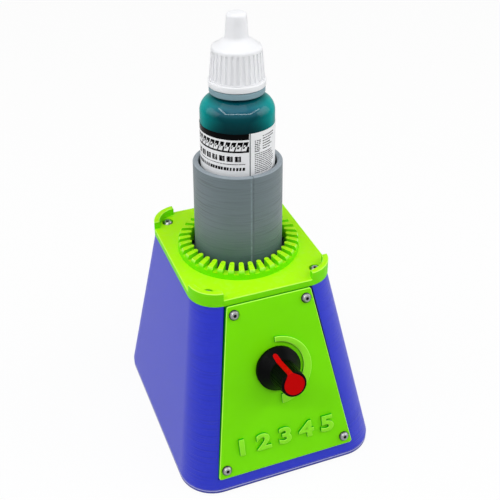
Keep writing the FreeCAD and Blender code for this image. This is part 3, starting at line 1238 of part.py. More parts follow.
def write_parts():
    """Check every object, then write each sub-part's shape."""
    for thing in doc.Objects:
        if {"Invalid", "Error"} & set(thing.State):
            raise RuntimeError("%s could not be built" % thing.Label)
    labels = {thing.Label: thing for thing in doc.Objects}
    os.makedirs("parts", exist_ok=True)
    for node in NODES:
        shape = labels[node].Shape
        if shape.isNull() or not shape.isValid() or not shape.Solids:
            raise RuntimeError("%s has no sound solid" % node)
        shape.exportStep("parts/%s.step" % node)
        print("%-20s %9.1f mm3  %d solids" % (node, shape.Volume, len(shape.Solids)))


make_housing()
make_base_cover()
make_cover_screws()
make_pads()
make_lid()
in_housing(screws("lid_screws", four("lid_screw_x", "lid_screw_y", "lid_screw_y",
                                      "rim_height + lid_thick - lid_sink"),
                  "button_radius", "button_height", "shank_radius", "shank_length"))
make_panel()
in_front(screws("panel_screws", panel_places(), "button_radius", "button_height", "shank_radius",
                "shank_length"))
make_control()
make_knob()
make_cup()
make_bearing()
make_crank()
make_motor()
make_board()
make_inlet()
make_bottle()
make_cap()
doc.recompute()
write_parts()
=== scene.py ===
"""Looks of a desktop paint shaker: printed housing, toothed lid, nutating cup, speed knob and dropper bottle.

Everything is in metres in the frame of the CAD model: +Z up, the sloping front faces -Y.
Sizes that a user may change are properties of the scene, in millimetres where they are small.
"""
import json
import math

import bpy
from bpy.props import FloatProperty, FloatVectorProperty, PointerProperty
from mathutils import Matrix, Vector


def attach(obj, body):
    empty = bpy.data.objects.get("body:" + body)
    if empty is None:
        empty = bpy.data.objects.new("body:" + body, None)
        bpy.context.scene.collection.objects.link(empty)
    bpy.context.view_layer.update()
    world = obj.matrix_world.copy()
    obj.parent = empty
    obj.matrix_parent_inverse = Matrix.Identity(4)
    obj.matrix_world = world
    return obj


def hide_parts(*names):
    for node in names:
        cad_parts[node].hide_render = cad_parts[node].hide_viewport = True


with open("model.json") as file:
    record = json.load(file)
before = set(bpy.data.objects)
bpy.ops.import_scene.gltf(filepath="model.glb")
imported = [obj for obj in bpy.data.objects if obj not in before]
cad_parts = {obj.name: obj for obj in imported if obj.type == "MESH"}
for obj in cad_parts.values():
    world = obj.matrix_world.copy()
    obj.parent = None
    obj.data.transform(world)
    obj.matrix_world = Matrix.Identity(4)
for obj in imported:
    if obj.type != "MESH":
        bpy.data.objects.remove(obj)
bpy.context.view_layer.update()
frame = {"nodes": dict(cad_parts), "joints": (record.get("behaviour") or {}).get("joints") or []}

bl_info = {
    "name": "Paint Shaker",
    "version": (1, 0, 0),
    "blender": (4, 5, 0),
    "location": "View3D > Sidebar > Shaker",
    "description": "Finishes the printed case, cup, knob and bottle of a desktop paint shaker",
    "category": "Object",
}

MM = 0.001


# ---------------------------------------------------------------- places

def joint(name):
    return next(found for found in frame["joints"] if found["name"] == name)


def place_of(origin, outward, sideways=(1, 0, 0)):
    """The matrix of a place: its origin, z along outward and x near sideways."""
    z = Vector(outward).normalized()
    x = (Vector(sideways) - z * z.dot(Vector(sideways))).normalized()
    return Matrix.Translation(origin) @ Matrix((x, z.cross(x), z)).transposed().to_4x4()


CUP = place_of(joint("crank_spin")["pos_m"], joint("cup_nutation")["axis"])
KNOB = place_of(joint("knob_turn")["pos_m"], [-part for part in joint("knob_turn")["axis"]])


# ---------------------------------------------------------------- colours and properties

def srgb(text):
    """The linear colour of six hexadecimal digits."""
    parts = [int(text[n:n + 2], 16) / 255 for n in (0, 2, 4)]
    return tuple(p / 12.92 if p <= 0.04045 else ((p + 0.055) / 1.055) ** 2.4 for p in parts)


def colour(name, text, about):
    return FloatVectorProperty(name=name, description=about, subtype="COLOR", size=3, min=0, max=1,
                               default=srgb(text))


def millimetres(name, default, about):
    return FloatProperty(name=name, description=about + ", in millimetres", default=default, min=0)


def watts(name, default, about):
    return FloatProperty(name=name, description=about, subtype="POWER", default=default, min=0)


class PrintSettings(bpy.types.PropertyGroup):
    """Printed parts of the case."""
    case: colour("Case", "1026C6", "Filament of the housing")
    lid: colour("Lid", "7CE804", "Filament of the lid and the front panel")
    # Lid skin is painted light on faces that look up, and lid rim a painted highlight on raised edges.
    skin: colour("Lid skin", "AEF40E", "Lid where it looks up")
    rim: colour("Lid rim", "C0FF5C", "Lid and panel along their raised edges")
    cup: colour("Cup", "69767C", "Filament of the cup")
    # Cup rim is painted light on the rim and on faces that look up.
    cup_rim: colour("Cup rim", "8C979F", "Cup where it looks up")
    layer: millimetres("Layer", 0.2, "Height of a printed layer")
    numeral_height: millimetres("Numeral height", 5.6, "Height of the raised numbers")
    numeral_rise: millimetres("Numeral rise", 1.0, "How far the numbers stand out of the panel")
    numeral_pitch: millimetres("Numeral pitch", 7.9, "Distance between two numbers")
    numeral_level: millimetres("Numeral level", 13.9, "Middle of the numbers above the foot of the slope")


class KnobSettings(bpy.types.PropertyGroup):
    """Speed knob."""
    body: colour("Body", "020203", "Moulded plastic of the knob")
    pointer: colour("Pointer", "C00203", "Plastic of the pointer")


class BottleSettings(bpy.types.PropertyGroup):
    """Dropper bottle."""
    # Paint and deep paint are painted light: lighter near the outline, deep where seen straight through.
    paint: colour("Paint", "009C99", "Paint where light gets into it, near the outline of the bottle")
    deep_paint: colour("Deep paint", "00444C", "Paint seen straight through the bottle")
    cap: colour("Cap", "ECEDF0", "Plastic of the cap")
    paper: colour("Paper", "EDEEF0", "White ground of the label")
    ink: colour("Ink", "030304", "Black of the label")
    fine_ink: colour("Fine ink", "181B20", "Small print of the label")
    label_low: millimetres("Label foot", 8.0, "Lower edge of the label, from the middle of the wobble")
    label_high: millimetres("Label top", 47.5, "Upper edge of the label")
    label_thick: millimetres("Label thickness", 0.09, "Thickness of the label")
    label_radius: millimetres("Label radius", 12.17, "Inner radius of the label")
    label_gap: millimetres("Label gap", 0.32, "Gap between the two ends of the label")
    label_seam: FloatProperty(name="Label seam", description="Where the two ends meet", subtype="ANGLE",
                              default=math.radians(-93))


class StageSettings(bpy.types.PropertyGroup):
    """Floor, lamps and camera."""
    lens: FloatProperty(name="Lens", description="Focal length for a 36 mm sensor, in millimetres",
                        default=64.27, min=1)
    top: watts("Top lamp", 1.9, "Power of the wide lamp overhead")
    front: watts("Front bar", 3.4, "Power of the bar above the camera")
    arm: watts("Side bars", 1.5, "Power of each bar that runs back from the ends of the front one")
    left: watts("Left lamp", 3.3, "Power of the wide lamp on the left")
    right: watts("Right lamp", 4.3, "Power of the wide lamp on the right")
    ambient: FloatProperty(name="Ambient", description="Light from all round", default=0.18, min=0)
    floor: colour("Floor", "D2D2D2", "Colour of the floor")


# ---------------------------------------------------------------- node helpers

def node(tree, kind, inputs=None, **settings):
    """A node whose sockets are set or joined from a dictionary of inputs."""
    made = tree.nodes.new(kind)
    for name, value in settings.items():
        setattr(made, name, value)
    for key, value in (inputs or {}).items():
        if isinstance(value, bpy.types.NodeSocket):
            tree.links.new(value, made.inputs[key])
        else:
            made.inputs[key].default_value = value
    return made


def maths(tree, operation, *values):
    return node(tree, "ShaderNodeMath", dict(enumerate(values)), operation=operation).outputs[0]


def both(tree, first, second):
    """Where two masks meet."""
    return maths(tree, "MULTIPLY", first, second)


def either(tree, *masks):
    """Where any of some masks is."""
    found = masks[0]
    for mask in masks[1:]:
        found = maths(tree, "MAXIMUM", found, mask)
    return found


def without(tree, mask, cut):
    """A mask less another."""
    return both(tree, mask, maths(tree, "SUBTRACT", 1.0, cut))


def mixed(tree, factor, first, second):
    """One colour turning into another."""
    made = tree.nodes.new("ShaderNodeMix")
    made.data_type = "RGBA"
    for index, value in ((0, factor), (6, first), (7, second)):
        if isinstance(value, bpy.types.NodeSocket):
            tree.links.new(value, made.inputs[index])
        else:
            made.inputs[index].default_value = value if index == 0 else (*value[:3], 1)
    return made.outputs[2]


def ranged(tree, value, low, high, out_low, out_high):
    """A value moved from one range to another, and kept in it."""
    return node(tree, "ShaderNodeMapRange", {0: value, 1: low, 2: high, 3: out_low, 4: out_high}).outputs[0]


def noise(tree, place, scale, detail, **more):
    """Cloudy grain, finer as the scale rises."""
    inputs = {"Vector": place, "Scale": scale, "Detail": detail, **more}
    return node(tree, "ShaderNodeTexNoise", inputs).outputs[0]


def axes(tree, place):
    """The x, y and z of a vector."""
    return node(tree, "ShaderNodeSeparateXYZ", {0: place}).outputs


def spun(tree, place, angle):
    """A place turned about the z axis."""
    return node(tree, "ShaderNodeVectorRotate", {"Vector": place, "Angle": angle},
                rotation_type="Z_AXIS").outputs[0]


def stretched(tree, place, factors):
    """A place with each of its parts multiplied."""
    return node(tree, "ShaderNodeVectorMath", {0: place, 1: factors}, operation="MULTIPLY").outputs[0]


def effect(name, inputs, outputs):
    """A new node group with named inputs and outputs; its two end nodes are returned with it."""
    group = bpy.data.node_groups.new(name, "ShaderNodeTree")
    for label, kind, default in inputs:
        made = group.interface.new_socket(label, in_out="INPUT", socket_type="NodeSocket" + kind)
        if default is not None:
            made.default_value = default
    for label, kind in outputs:
        group.interface.new_socket(label, in_out="OUTPUT", socket_type="NodeSocket" + kind)
    return group, group.nodes.new("NodeGroupInput").outputs, group.nodes.new("NodeGroupOutput").inputs


def placed_effect(tree, name, **values):
    """One of the shared groups in a tree, with its inputs set or joined."""
    made = tree.nodes.new("ShaderNodeGroup")
    made.node_tree = bpy.data.node_groups[name]
    for key, value in values.items():
        socket = made.inputs[key.replace("_", " ")]
        if isinstance(value, bpy.types.NodeSocket):
            tree.links.new(value, socket)
        else:
            socket.default_value = value
    return made.outputs


# ---------------------------------------------------------------- shared effects

def make_layer_lines():
    """Layers of a print: rounded beads, some of which bulge, more in some patches than in others."""
    group, given, out = effect("Layer Lines", [("Place", "Vector", None), ("Layer", "Float", 0.0002),
                                               ("Uneven", "Float", 0.6)],
                               [("Height", "Float"), ("Tone", "Float")])
    place = given["Place"]
    level = maths(group, "DIVIDE", axes(group, place)[2], given["Layer"])
    level = maths(group, "MULTIPLY_ADD", noise(group, place, 90, 1), 0.5, level)
    bead = maths(group, "ABSOLUTE", maths(group, "SINE", maths(group, "MULTIPLY", level, math.pi)))
    flattened = stretched(group, place, (70, 70, 2100))
    bands = ranged(group, noise(group, flattened, 1.0, 1), 0.45, 0.75, 0.0, 1.0)
    patch = ranged(group, noise(group, place, 55, 2), 0.4, 0.65, 0.5, 1.0)
    uneven = both(group, both(group, bands, patch), given["Uneven"])
    height = maths(group, "ADD", maths(group, "MULTIPLY", bead, 0.35), maths(group, "MULTIPLY", uneven, 2.0))
    group.links.new(height, out["Height"])
    group.links.new(uneven, out["Tone"])


def make_tilted_edge():
    """Where a surface leans away from the way its piece looks: chamfers, fillets and walls."""
    group, given, out = effect("Tilted Edge", [("Outward", "Vector", (0, 0, 1)), ("Flat", "Float", 0.97),
                                               ("Steep", "Float", 0.8)], [("Mask", "Float")])
    normal = node(group, "ShaderNodeTexCoord").outputs["Normal"]
    facing = node(group, "ShaderNodeVectorMath", {0: normal, 1: given["Outward"]},
                  operation="DOT_PRODUCT").outputs["Value"]
    group.links.new(ranged(group, facing, given["Steep"], given["Flat"], 1, 0), out["Mask"])


def make_raster_lines():
    """Top or bottom skin of a print: straight lines side by side at an angle, a little uneven."""
    group, given, out = effect("Raster Lines", [("Place", "Vector", None), ("Width", "Float", 0.00042),
                                                ("Angle", "Float", 0.785)], [("Height", "Float")])
    place = given["Place"]
    across = maths(group, "DIVIDE", axes(group, spun(group, place, given["Angle"]))[0], given["Width"])
    line = maths(group, "ABSOLUTE", maths(group, "SINE", maths(group, "MULTIPLY", across, math.pi)))
    group.links.new(maths(group, "MULTIPLY_ADD", noise(group, place, 400, 2), 0.6, line), out["Height"])


def make_mould_grain():
    """Fine grain of moulded plastic and rubber, with faint wear in the gloss."""
    group, given, out = effect("Mould Grain", [("Place", "Vector", None), ("Scale", "Float", 2500.0)],
                               [("Height", "Float"), ("Wear", "Float")])
    place = given["Place"]
    group.links.new(noise(group, place, given["Scale"], 2), out["Height"])
    group.links.new(ranged(group, noise(group, place, 160, 4, Roughness=0.7), 0.35, 0.7, 0, 1), out["Wear"])


def make_dust():
    """A thin uneven film that gathers on faces which look up."""
    group, given, out = effect("Dust", [("Place", "Vector", None), ("Amount", "Float", 0.3)],
                               [("Mask", "Float")])
    up = axes(group, node(group, "ShaderNodeNewGeometry").outputs["Normal"])[2]
    speck = ranged(group, noise(group, given["Place"], 700, 4), 0.5, 0.8, 0, 1)
    mask = both(group, speck, ranged(group, up, 0.2, 1, 0, 1))
    group.links.new(both(group, mask, given["Amount"]), out["Mask"])


def make_tool_marks():
    """Fine marks of a tool, drawn out along one axis, with dull patches."""
    group, given, out = effect("Tool Marks", [("Place", "Vector", None), ("Stretch", "Vector", (1, 1, 0.02))],
                               [("Height", "Float"), ("Wear", "Float")])
    drawn = stretched(group, given["Place"], given["Stretch"])
    group.links.new(noise(group, drawn, 3000, 3), out["Height"])
    group.links.new(noise(group, given["Place"], 350, 3), out["Wear"])


def make_print_row():
    """Rows of plain printed blocks on the label, in millimetres round the bottle and up it."""
    fields = [("Around", 0), ("Up", 0), ("Left", 0), ("Right", 1), ("Low", 0), ("High", 1), ("Lines", 1),
              ("Line Fill", 1), ("Count", 1), ("Fill", 1), ("Slant", 0), ("Uneven", 0), ("Ragged", 0)]
    group, given, out = effect("Print Row", [(name, "Float", float(start)) for name, start in fields],
                               [("Mask", "Float")])

    def share(value, low, high):
        span = maths(group, "SUBTRACT", given[high], given[low])
        return maths(group, "DIVIDE", maths(group, "SUBTRACT", value, given[low]), span)

    def within(value, high):
        return both(group, maths(group, "GREATER_THAN", value, 0.0), maths(group, "LESS_THAN", value, high))

    up = share(given["Up"], "Low", "High")
    line = maths(group, "FLOOR", maths(group, "MULTIPLY", up, given["Lines"]))
    in_line = maths(group, "FRACT", maths(group, "MULTIPLY", up, given["Lines"]))
    leaning = maths(group, "SUBTRACT", given["Around"], maths(group, "MULTIPLY", in_line, given["Slant"]))
    along = share(leaning, "Left", "Right")
    cell = maths(group, "FLOOR", maths(group, "MULTIPLY", along, given["Count"]))
    in_cell = maths(group, "FRACT", maths(group, "MULTIPLY", along, given["Count"]))

    def chance(first, second):
        seed = node(group, "ShaderNodeCombineXYZ", {0: first, 1: second}).outputs[0]
        return node(group, "ShaderNodeTexWhiteNoise", {"Vector": seed}, noise_dimensions="2D").outputs[0]

    end = maths(group, "SUBTRACT", 1.0, maths(group, "MULTIPLY", chance(line, 0.37), given["Ragged"]))
    spare = maths(group, "MULTIPLY", maths(group, "SUBTRACT", chance(cell, line), 0.5), given["Uneven"])
    width = maths(group, "ADD", given["Fill"], spare)
    mask = both(group, within(up, 1.0), within(along, end))
    mask = both(group, mask, maths(group, "LESS_THAN", in_line, given["Line Fill"]))
    mask = both(group, mask, maths(group, "LESS_THAN", in_cell, width))
    group.links.new(mask, out["Mask"])


# ---------------------------------------------------------------- materials

def material(name):
    made = bpy.data.materials.new(name)
    made.use_nodes = True
    return made, made.node_tree, made.node_tree.nodes["Principled BSDF"].inputs


def object_place(tree, place=Matrix()):
    """Object coordinates, counted from one of the object's own places."""
    found = node(tree, "ShaderNodeTexCoord").outputs["Object"]
    return node(tree, "ShaderNodeMapping", {"Vector": found, "Location": place.to_translation(),
                                            "Rotation": place.to_euler()}, vector_type="TEXTURE").outputs[0]


def bumped(tree, height, distance):
    """The normal of a surface with some relief; the distance is its depth."""
    return node(tree, "ShaderNodeBump", {"Height": height, "Distance": distance, "Strength": 1.0}).outputs[0]


def toned(tint, share):
    """A colour with all its channels multiplied."""
    return [channel * share for channel in tint]


def overpainted(tree, mask, tint):
    """Turn the colour of a finish to another where a mask says."""
    base = tree.nodes["Principled BSDF"].inputs["Base Color"]
    tree.links.new(mixed(tree, mask, base.links[0].from_socket, tint), base)


def with_painted_light(tree, walls, top, rim, outward):
    """The colour of walls, turned to a painted lit colour where they look outward and a painted highlight on
    the edges between.
    """
    edge = placed_effect(tree, "Tilted Edge", Outward=outward, Flat=0.97, Steep=0.85)["Mask"]
    wall = placed_effect(tree, "Tilted Edge", Outward=outward, Flat=0.45, Steep=0.2)["Mask"]
    return mixed(tree, wall, mixed(tree, edge, top, rim), walls)


def printed(name, tint, place=Matrix(), uneven=0.6, tone=0.5, gloss=0.42, shine=0.5, bloom=0.0, lit_caps=None,
            calm_sides=False):
    """Filament printed in layers across the z axis of its place.

    Lit caps are its painted lit colour on top and its painted highlight on the edges round the top.
    With calm sides the layers show where the walls turn a corner and hardly at all on the flat walls between.
    """
    made, tree, shader = material(name)
    spot = object_place(tree, place)
    if calm_sides:
        facing = axes(tree, node(tree, "ShaderNodeTexCoord").outputs["Normal"])
        corner = maths(tree, "ABSOLUTE", maths(tree, "MULTIPLY", facing[0], facing[1]))
        uneven = maths(tree, "MULTIPLY", ranged(tree, corner, 0.05, 0.35, 0.12, 1.0), uneven)
    layers = placed_effect(tree, "Layer Lines", Place=spot, Layer=bpy.context.scene.shaker_print.layer * MM,
                           Uneven=uneven)
    dust = placed_effect(tree, "Dust", Place=spot, Amount=0.05)
    base = mixed(tree, ranged(tree, layers["Tone"], 0.0, 1.0, 0, tone), tint, toned(tint, 0.45))
    if lit_caps is not None:
        base = with_painted_light(tree, base, *lit_caps, tuple(place.to_3x3().col[2]))
    base = mixed(tree, dust["Mask"], base, (0.6, 0.6, 0.6))
    tree.links.new(base, shader["Base Color"])
    tree.links.new(ranged(tree, layers["Tone"], 0, 1.0, gloss, gloss + 0.12), shader["Roughness"])
    tree.links.new(bumped(tree, layers["Height"], 0.00004), shader["Normal"])
    shader["Specular IOR Level"].default_value = shine
    shader["Sheen Weight"].default_value = bloom
    return made


def printed_flat(name, tint, rim, place, raised, shine):
    """Filament whose visible face is the skin of a flat print, with a painted highlight where raised and
    along its edges and painted shade on its walls.
    """
    made, tree, shader = material(name)
    spot = object_place(tree, place)
    lines = placed_effect(tree, "Raster Lines", Place=spot, Angle=0.785)
    dust = placed_effect(tree, "Dust", Place=spot, Amount=0.04)
    cloud = noise(tree, spot, 70, 2)
    base = mixed(tree, ranged(tree, cloud, 0.35, 0.7, 0, 0.25), tint, toned(tint, 0.85))
    height = axes(tree, spot)[2]
    # Painted highlight on raised faces; painted shade below, a dark saturated green on the walls.
    top = mixed(tree, ranged(tree, height, (raised - 0.1) * MM, raised * MM, 0, 0.22), base, rim)
    walls = [channel * share for channel, share in zip(tint, (0.05, 0.54, 0.6))]
    base = with_painted_light(tree, walls, top, rim, tuple(place.to_3x3().col[2]))
    base = mixed(tree, dust["Mask"], base, (0.7, 0.7, 0.7))
    tree.links.new(base, shader["Base Color"])
    tree.links.new(ranged(tree, cloud, 0.3, 0.7, 0.38, 0.5), shader["Roughness"])
    tree.links.new(bumped(tree, lines["Height"], 0.000012), shader["Normal"])
    shader["Specular IOR Level"].default_value = shine
    return made


def moulded(name, tint, gloss, depth=0.000004, shine=0.5, worn=0.1):
    """Moulded plastic or rubber with a fine grain, a little paler where it is worn."""
    made, tree, shader = material(name)
    grain = placed_effect(tree, "Mould Grain", Place=object_place(tree))
    lighter = [channel * (1 - worn) + 0.5 * worn for channel in tint]
    base = mixed(tree, maths(tree, "MULTIPLY", grain["Wear"], worn), tint, lighter)
    tree.links.new(base, shader["Base Color"])
    tree.links.new(ranged(tree, grain["Wear"], 0, 1, gloss, gloss + 0.1), shader["Roughness"])
    tree.links.new(bumped(tree, grain["Height"], depth), shader["Normal"])
    shader["Specular IOR Level"].default_value = shine
    return made


def metal(name, tint, gloss=0.28, stretch=(1, 1, 0.02)):
    """Bare metal with tool marks, drawn out along the axis whose stretch is small."""
    made, tree, shader = material(name)
    marks = placed_effect(tree, "Tool Marks", Place=object_place(tree), Stretch=stretch)
    base = mixed(tree, ranged(tree, marks["Wear"], 0.35, 0.75, 0, 0.5), tint, toned(tint, 0.6))
    tree.links.new(base, shader["Base Color"])
    tree.links.new(ranged(tree, marks["Wear"], 0.3, 0.7, gloss, gloss + 0.15), shader["Roughness"])
    tree.links.new(bumped(tree, marks["Height"], 0.000003), shader["Normal"])
    shader["Metallic"].default_value = 1.0
    return made


def glow(finish, weight, depth, spread):
    """Let light wander a little below the surface; spread is its reach in red, green and blue."""
    shader = finish.node_tree.nodes["Principled BSDF"].inputs
    shader["Subsurface Weight"].default_value = weight
    shader["Subsurface Scale"].default_value = depth
    shader["Subsurface Radius"].default_value = spread


# ---------------------------------------------------------------- mesh helpers

def select_only(*pieces):
    """Leave edit mode and select only these objects; the first one is active."""
    if bpy.context.mode != "OBJECT":
        bpy.ops.object.mode_set(mode="OBJECT")
    bpy.ops.object.select_all(action="DESELECT")
    for piece in pieces:
        piece.select_set(True)
    bpy.context.view_layer.objects.active = pieces[0] if pieces else None


def finish_piece(piece, name, body, finish, place=None, smooth=None):
    """Put a piece in its place, with its place in its mesh, and let it ride on its body."""
    piece.name = piece.data.name = name
    select_only(piece)
    if place is not None:
        piece.matrix_world = place @ piece.matrix_world
    bpy.ops.object.transform_apply(location=True, rotation=True, scale=True)
    if smooth is not None:
        bpy.ops.object.shade_smooth_by_angle(angle=math.radians(smooth))
    piece.data.materials.clear()
    piece.data.materials.append(finish)
    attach(piece, body)
    return piece


def coat(finish, *names):
    """Give CAD nodes a material."""
    for name in names:
        mesh = frame["nodes"][name].data
        mesh.materials.clear()
        mesh.materials.append(finish)


def smoothed(name, finish, body, angle=32):
    """A welded copy of a CAD node, smooth over its round faces, that stands for the node."""
    copy = bpy.data.objects.new(name + "_smooth", frame["nodes"][name].data.copy())
    bpy.context.scene.collection.objects.link(copy)
    select_only(copy)
    bpy.ops.object.mode_set(mode="EDIT")
    bpy.ops.mesh.select_all(action="SELECT")
    bpy.ops.mesh.customdata_custom_splitnormals_clear()
    bpy.ops.mesh.remove_doubles(threshold=0.001 * MM)
    bpy.ops.object.mode_set(mode="OBJECT")
    finish_piece(copy, name + "_smooth", body, finish, smooth=angle)
    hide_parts(name)
    return copy


# ---------------------------------------------------------------- operators

class Maker(bpy.types.Operator):
    """What the makers of pieces share."""
    bl_options = {"REGISTER", "UNDO"}

    def execute(self, context):
        self.make(context.scene)
        return {"FINISHED"}


class SHAKER_OT_effects(Maker):
    """Build the shared effects of the materials"""
    bl_idname = "shaker.effects"
    bl_label = "Effects"

    def make(self, scene):
        make_layer_lines()
        make_tilted_edge()
        make_raster_lines()
        make_mould_grain()
        make_dust()
        make_tool_marks()
        make_print_row()


class SHAKER_OT_case(Maker):
    """Finish the housing, its cover and the rubber feet"""
    bl_idname = "shaker.case"
    bl_label = "Case"

    def make(self, scene):
        look = scene.shaker_print
        finish = printed("case print", look.case, uneven=1.0, tone=0.3, shine=0.4, bloom=0.16,
                         calm_sides=True)
        smoothed("housing", finish, "case")
        cover = printed("cover print", look.case, uneven=0.6, tone=0.3, shine=0.4, bloom=0.16)
        self.pale_line_and_painted_shade(cover.node_tree, look.case)
        smoothed("base_cover", cover, "case")
        rubber = moulded("pad rubber", srgb("1A1A1B"), 0.75, depth=0.00001, shine=0.3)
        coat(rubber, *["rubber_foot_%d" % n for n in range(1, 5)])

    def pale_line_and_painted_shade(self, tree, tint):
        """A pale line low on the cover, and painted shade of the gap under it."""
        line, shade, pale = 2.1 * MM, 1.7 * MM, (0.8, 0.8, 0.85)
        height = axes(tree, object_place(tree))[2]
        away = maths(tree, "ABSOLUTE", maths(tree, "SUBTRACT", height, line))
        overpainted(tree, ranged(tree, away, 0.1 * MM, 0.28 * MM, 0.6, 0), pale)
        # Painted shade of the gap under the pale line.
        overpainted(tree, ranged(tree, height, shade - 0.1 * MM, shade, 0.7, 0), toned(tint, 0.25))


class SHAKER_OT_lid(Maker):
    """Finish the lid with its crown of bars"""
    bl_idname = "shaker.lid"
    bl_label = "Lid"

    def make(self, scene):
        look = scene.shaker_print
        # Painted light: a lit colour on faces that look up and a highlight along the raised edges.
        finish = printed("lid print", look.lid, uneven=0.3, tone=0.15, shine=0.08, lit_caps=(look.skin, look.rim))
        glow(finish, 0.3, 0.0012, (0.4, 1.0, 0.1))
        smoothed("top_lid", finish, "case")


class SHAKER_OT_front_panel(Maker):
    """Finish the front panel and raise the row of numbers on it"""
    bl_idname = "shaker.front_panel"
    bl_label = "Front panel"

    def make(self, scene):
        look = scene.shaker_print
        finish = printed_flat("panel print", look.lid, look.rim, KNOB, raised=1.2, shine=0.08)
        smoothed("front_panel", finish, "case")
        self.numbers(look, finish)

    def numbers(self, look, finish):
        """Plain numbers in a row, low on the panel."""
        knob_level, panel_face, digits = 39.95, 0.8, "12345"
        sunk, swell, bevel, weld = 0.2, 0.1, 0.22, 0.06
        tall_share, wide = 0.7, 1.3
        pieces = []
        for index, digit in enumerate(digits):
            bpy.ops.object.text_add(location=(0, 0, 0))
            text = bpy.context.object
            text.data.body = digit
            text.data.align_x, text.data.align_y = "CENTER", "CENTER"
            text.data.size = look.numeral_height * MM / tall_share
            text.data.offset = swell * MM
            text.data.extrude = ((look.numeral_rise + sunk) / 2 - bevel) * MM
            text.data.bevel_depth = bevel * MM
            text.data.bevel_resolution = 2
            select_only(text)
            bpy.ops.object.convert(target="MESH")
            text.scale.x = wide
            along = (index - (len(digits) - 1) / 2) * look.numeral_pitch
            text.location = Vector((along, look.numeral_level - knob_level,
                                    panel_face + (look.numeral_rise - sunk) / 2)) * MM
            bpy.ops.object.transform_apply(location=True, rotation=True, scale=True)
            pieces.append(text)
        select_only(*pieces)
        bpy.ops.object.join()
        bpy.ops.object.mode_set(mode="EDIT")
        bpy.ops.mesh.select_all(action="SELECT")
        bpy.ops.mesh.remove_doubles(threshold=weld * MM)
        bpy.ops.object.mode_set(mode="OBJECT")
        finish_piece(bpy.context.object, "level_numbers", "case", finish, place=KNOB,
                     smooth=30)


class SHAKER_OT_cup(Maker):
    """Finish the cup"""
    bl_idname = "shaker.cup"
    bl_label = "Cup"

    def make(self, scene):
        tint, rim = scene.shaker_print.cup, scene.shaker_print.cup_rim
        # The rim colour is painted light on top and along the edges of the cup.
        finish = printed("cup print", tint, place=CUP, uneven=1.0, tone=0.6, gloss=0.46, shine=0.4, bloom=0.1,
                         lit_caps=(rim, rim))
        self.foot_shade(finish.node_tree, tint)
        self.seam(finish.node_tree, tint)
        smoothed("cup", finish, "cup_group")

    def foot_shade(self, tree, tint):
        """The foot of the wall in painted shade, tinted green as light thrown back from the bars of the lid.
        """
        height = axes(tree, object_place(tree, CUP))[2]
        shaded_green = [channel * share for channel, share in zip(tint, (0.3, 0.6, 0.4))]
        overpainted(tree, ranged(tree, height, 2 * MM, 16 * MM, 0.75, 0), shaded_green)

    def seam(self, tree, tint):
        """The upright line at which every layer begins: a pale bead in painted highlight with a dark hollow
        in painted shade beside it.
        """
        angle, bead, hollow, half_width = math.radians(92), -0.35 * MM, 0.35 * MM, 0.4 * MM
        turned = spun(tree, object_place(tree, CUP), angle)
        x, y = axes(tree, turned)[:2]
        side = both(tree, maths(tree, "GREATER_THAN", x, 0.0),
                    ranged(tree, noise(tree, turned, 900, 1), 0.35, 0.6, 0.4, 1.0))
        # Painted highlight on the bead and painted shade in the hollow.
        for middle, factor in ((bead, 1.5), (hollow, 0.6)):
            away = maths(tree, "ABSOLUTE", maths(tree, "SUBTRACT", y, middle))
            line = both(tree, ranged(tree, away, 0.0, half_width, 1, 0), side)
            overpainted(tree, line, toned(tint, factor))


class SHAKER_OT_knob(Maker):
    """Finish the speed knob and its pointer"""
    bl_idname = "shaker.knob"
    bl_label = "Knob"

    def make(self, scene):
        look = scene.shaker_knob
        body = moulded("knob plastic", look.body, 0.36, worn=0.003, shine=0.04)
        smoothed("knob_body", body, "knob")
        red = moulded("pointer plastic", look.pointer, 0.35, worn=0.005, shine=0.04)
        smoothed("knob_pointer", red, "knob")


class SHAKER_OT_screws(Maker):
    """Finish the screws that show"""
    bl_idname = "shaker.screws"
    bl_label = "Screws"

    def make(self, scene):
        for name, place in (("lid_screws", Matrix()), ("panel_screws", KNOB)):
            smoothed(name, self.steel(name, place), "case")
        smoothed("base_screws", metal("base screw steel", srgb("A9AAAC")), "case")

    def steel(self, name, place):
        """Steel in painted shade down in the sockets and round the foot of the heads."""
        finish = metal(name.replace("_", " ") + " steel", srgb("A2A3A4"))
        tree = finish.node_tree
        top = max((place.inverted() @ corner.co).z for corner in frame["nodes"][name].data.vertices)
        height = axes(tree, object_place(tree, place))[2]
        # Painted shade: below the tops of the heads the steel turns dark.
        overpainted(tree, ranged(tree, height, top - 0.7 * MM, top - 0.2 * MM, 0.95, 0), srgb("1C1D1F"))
        return finish


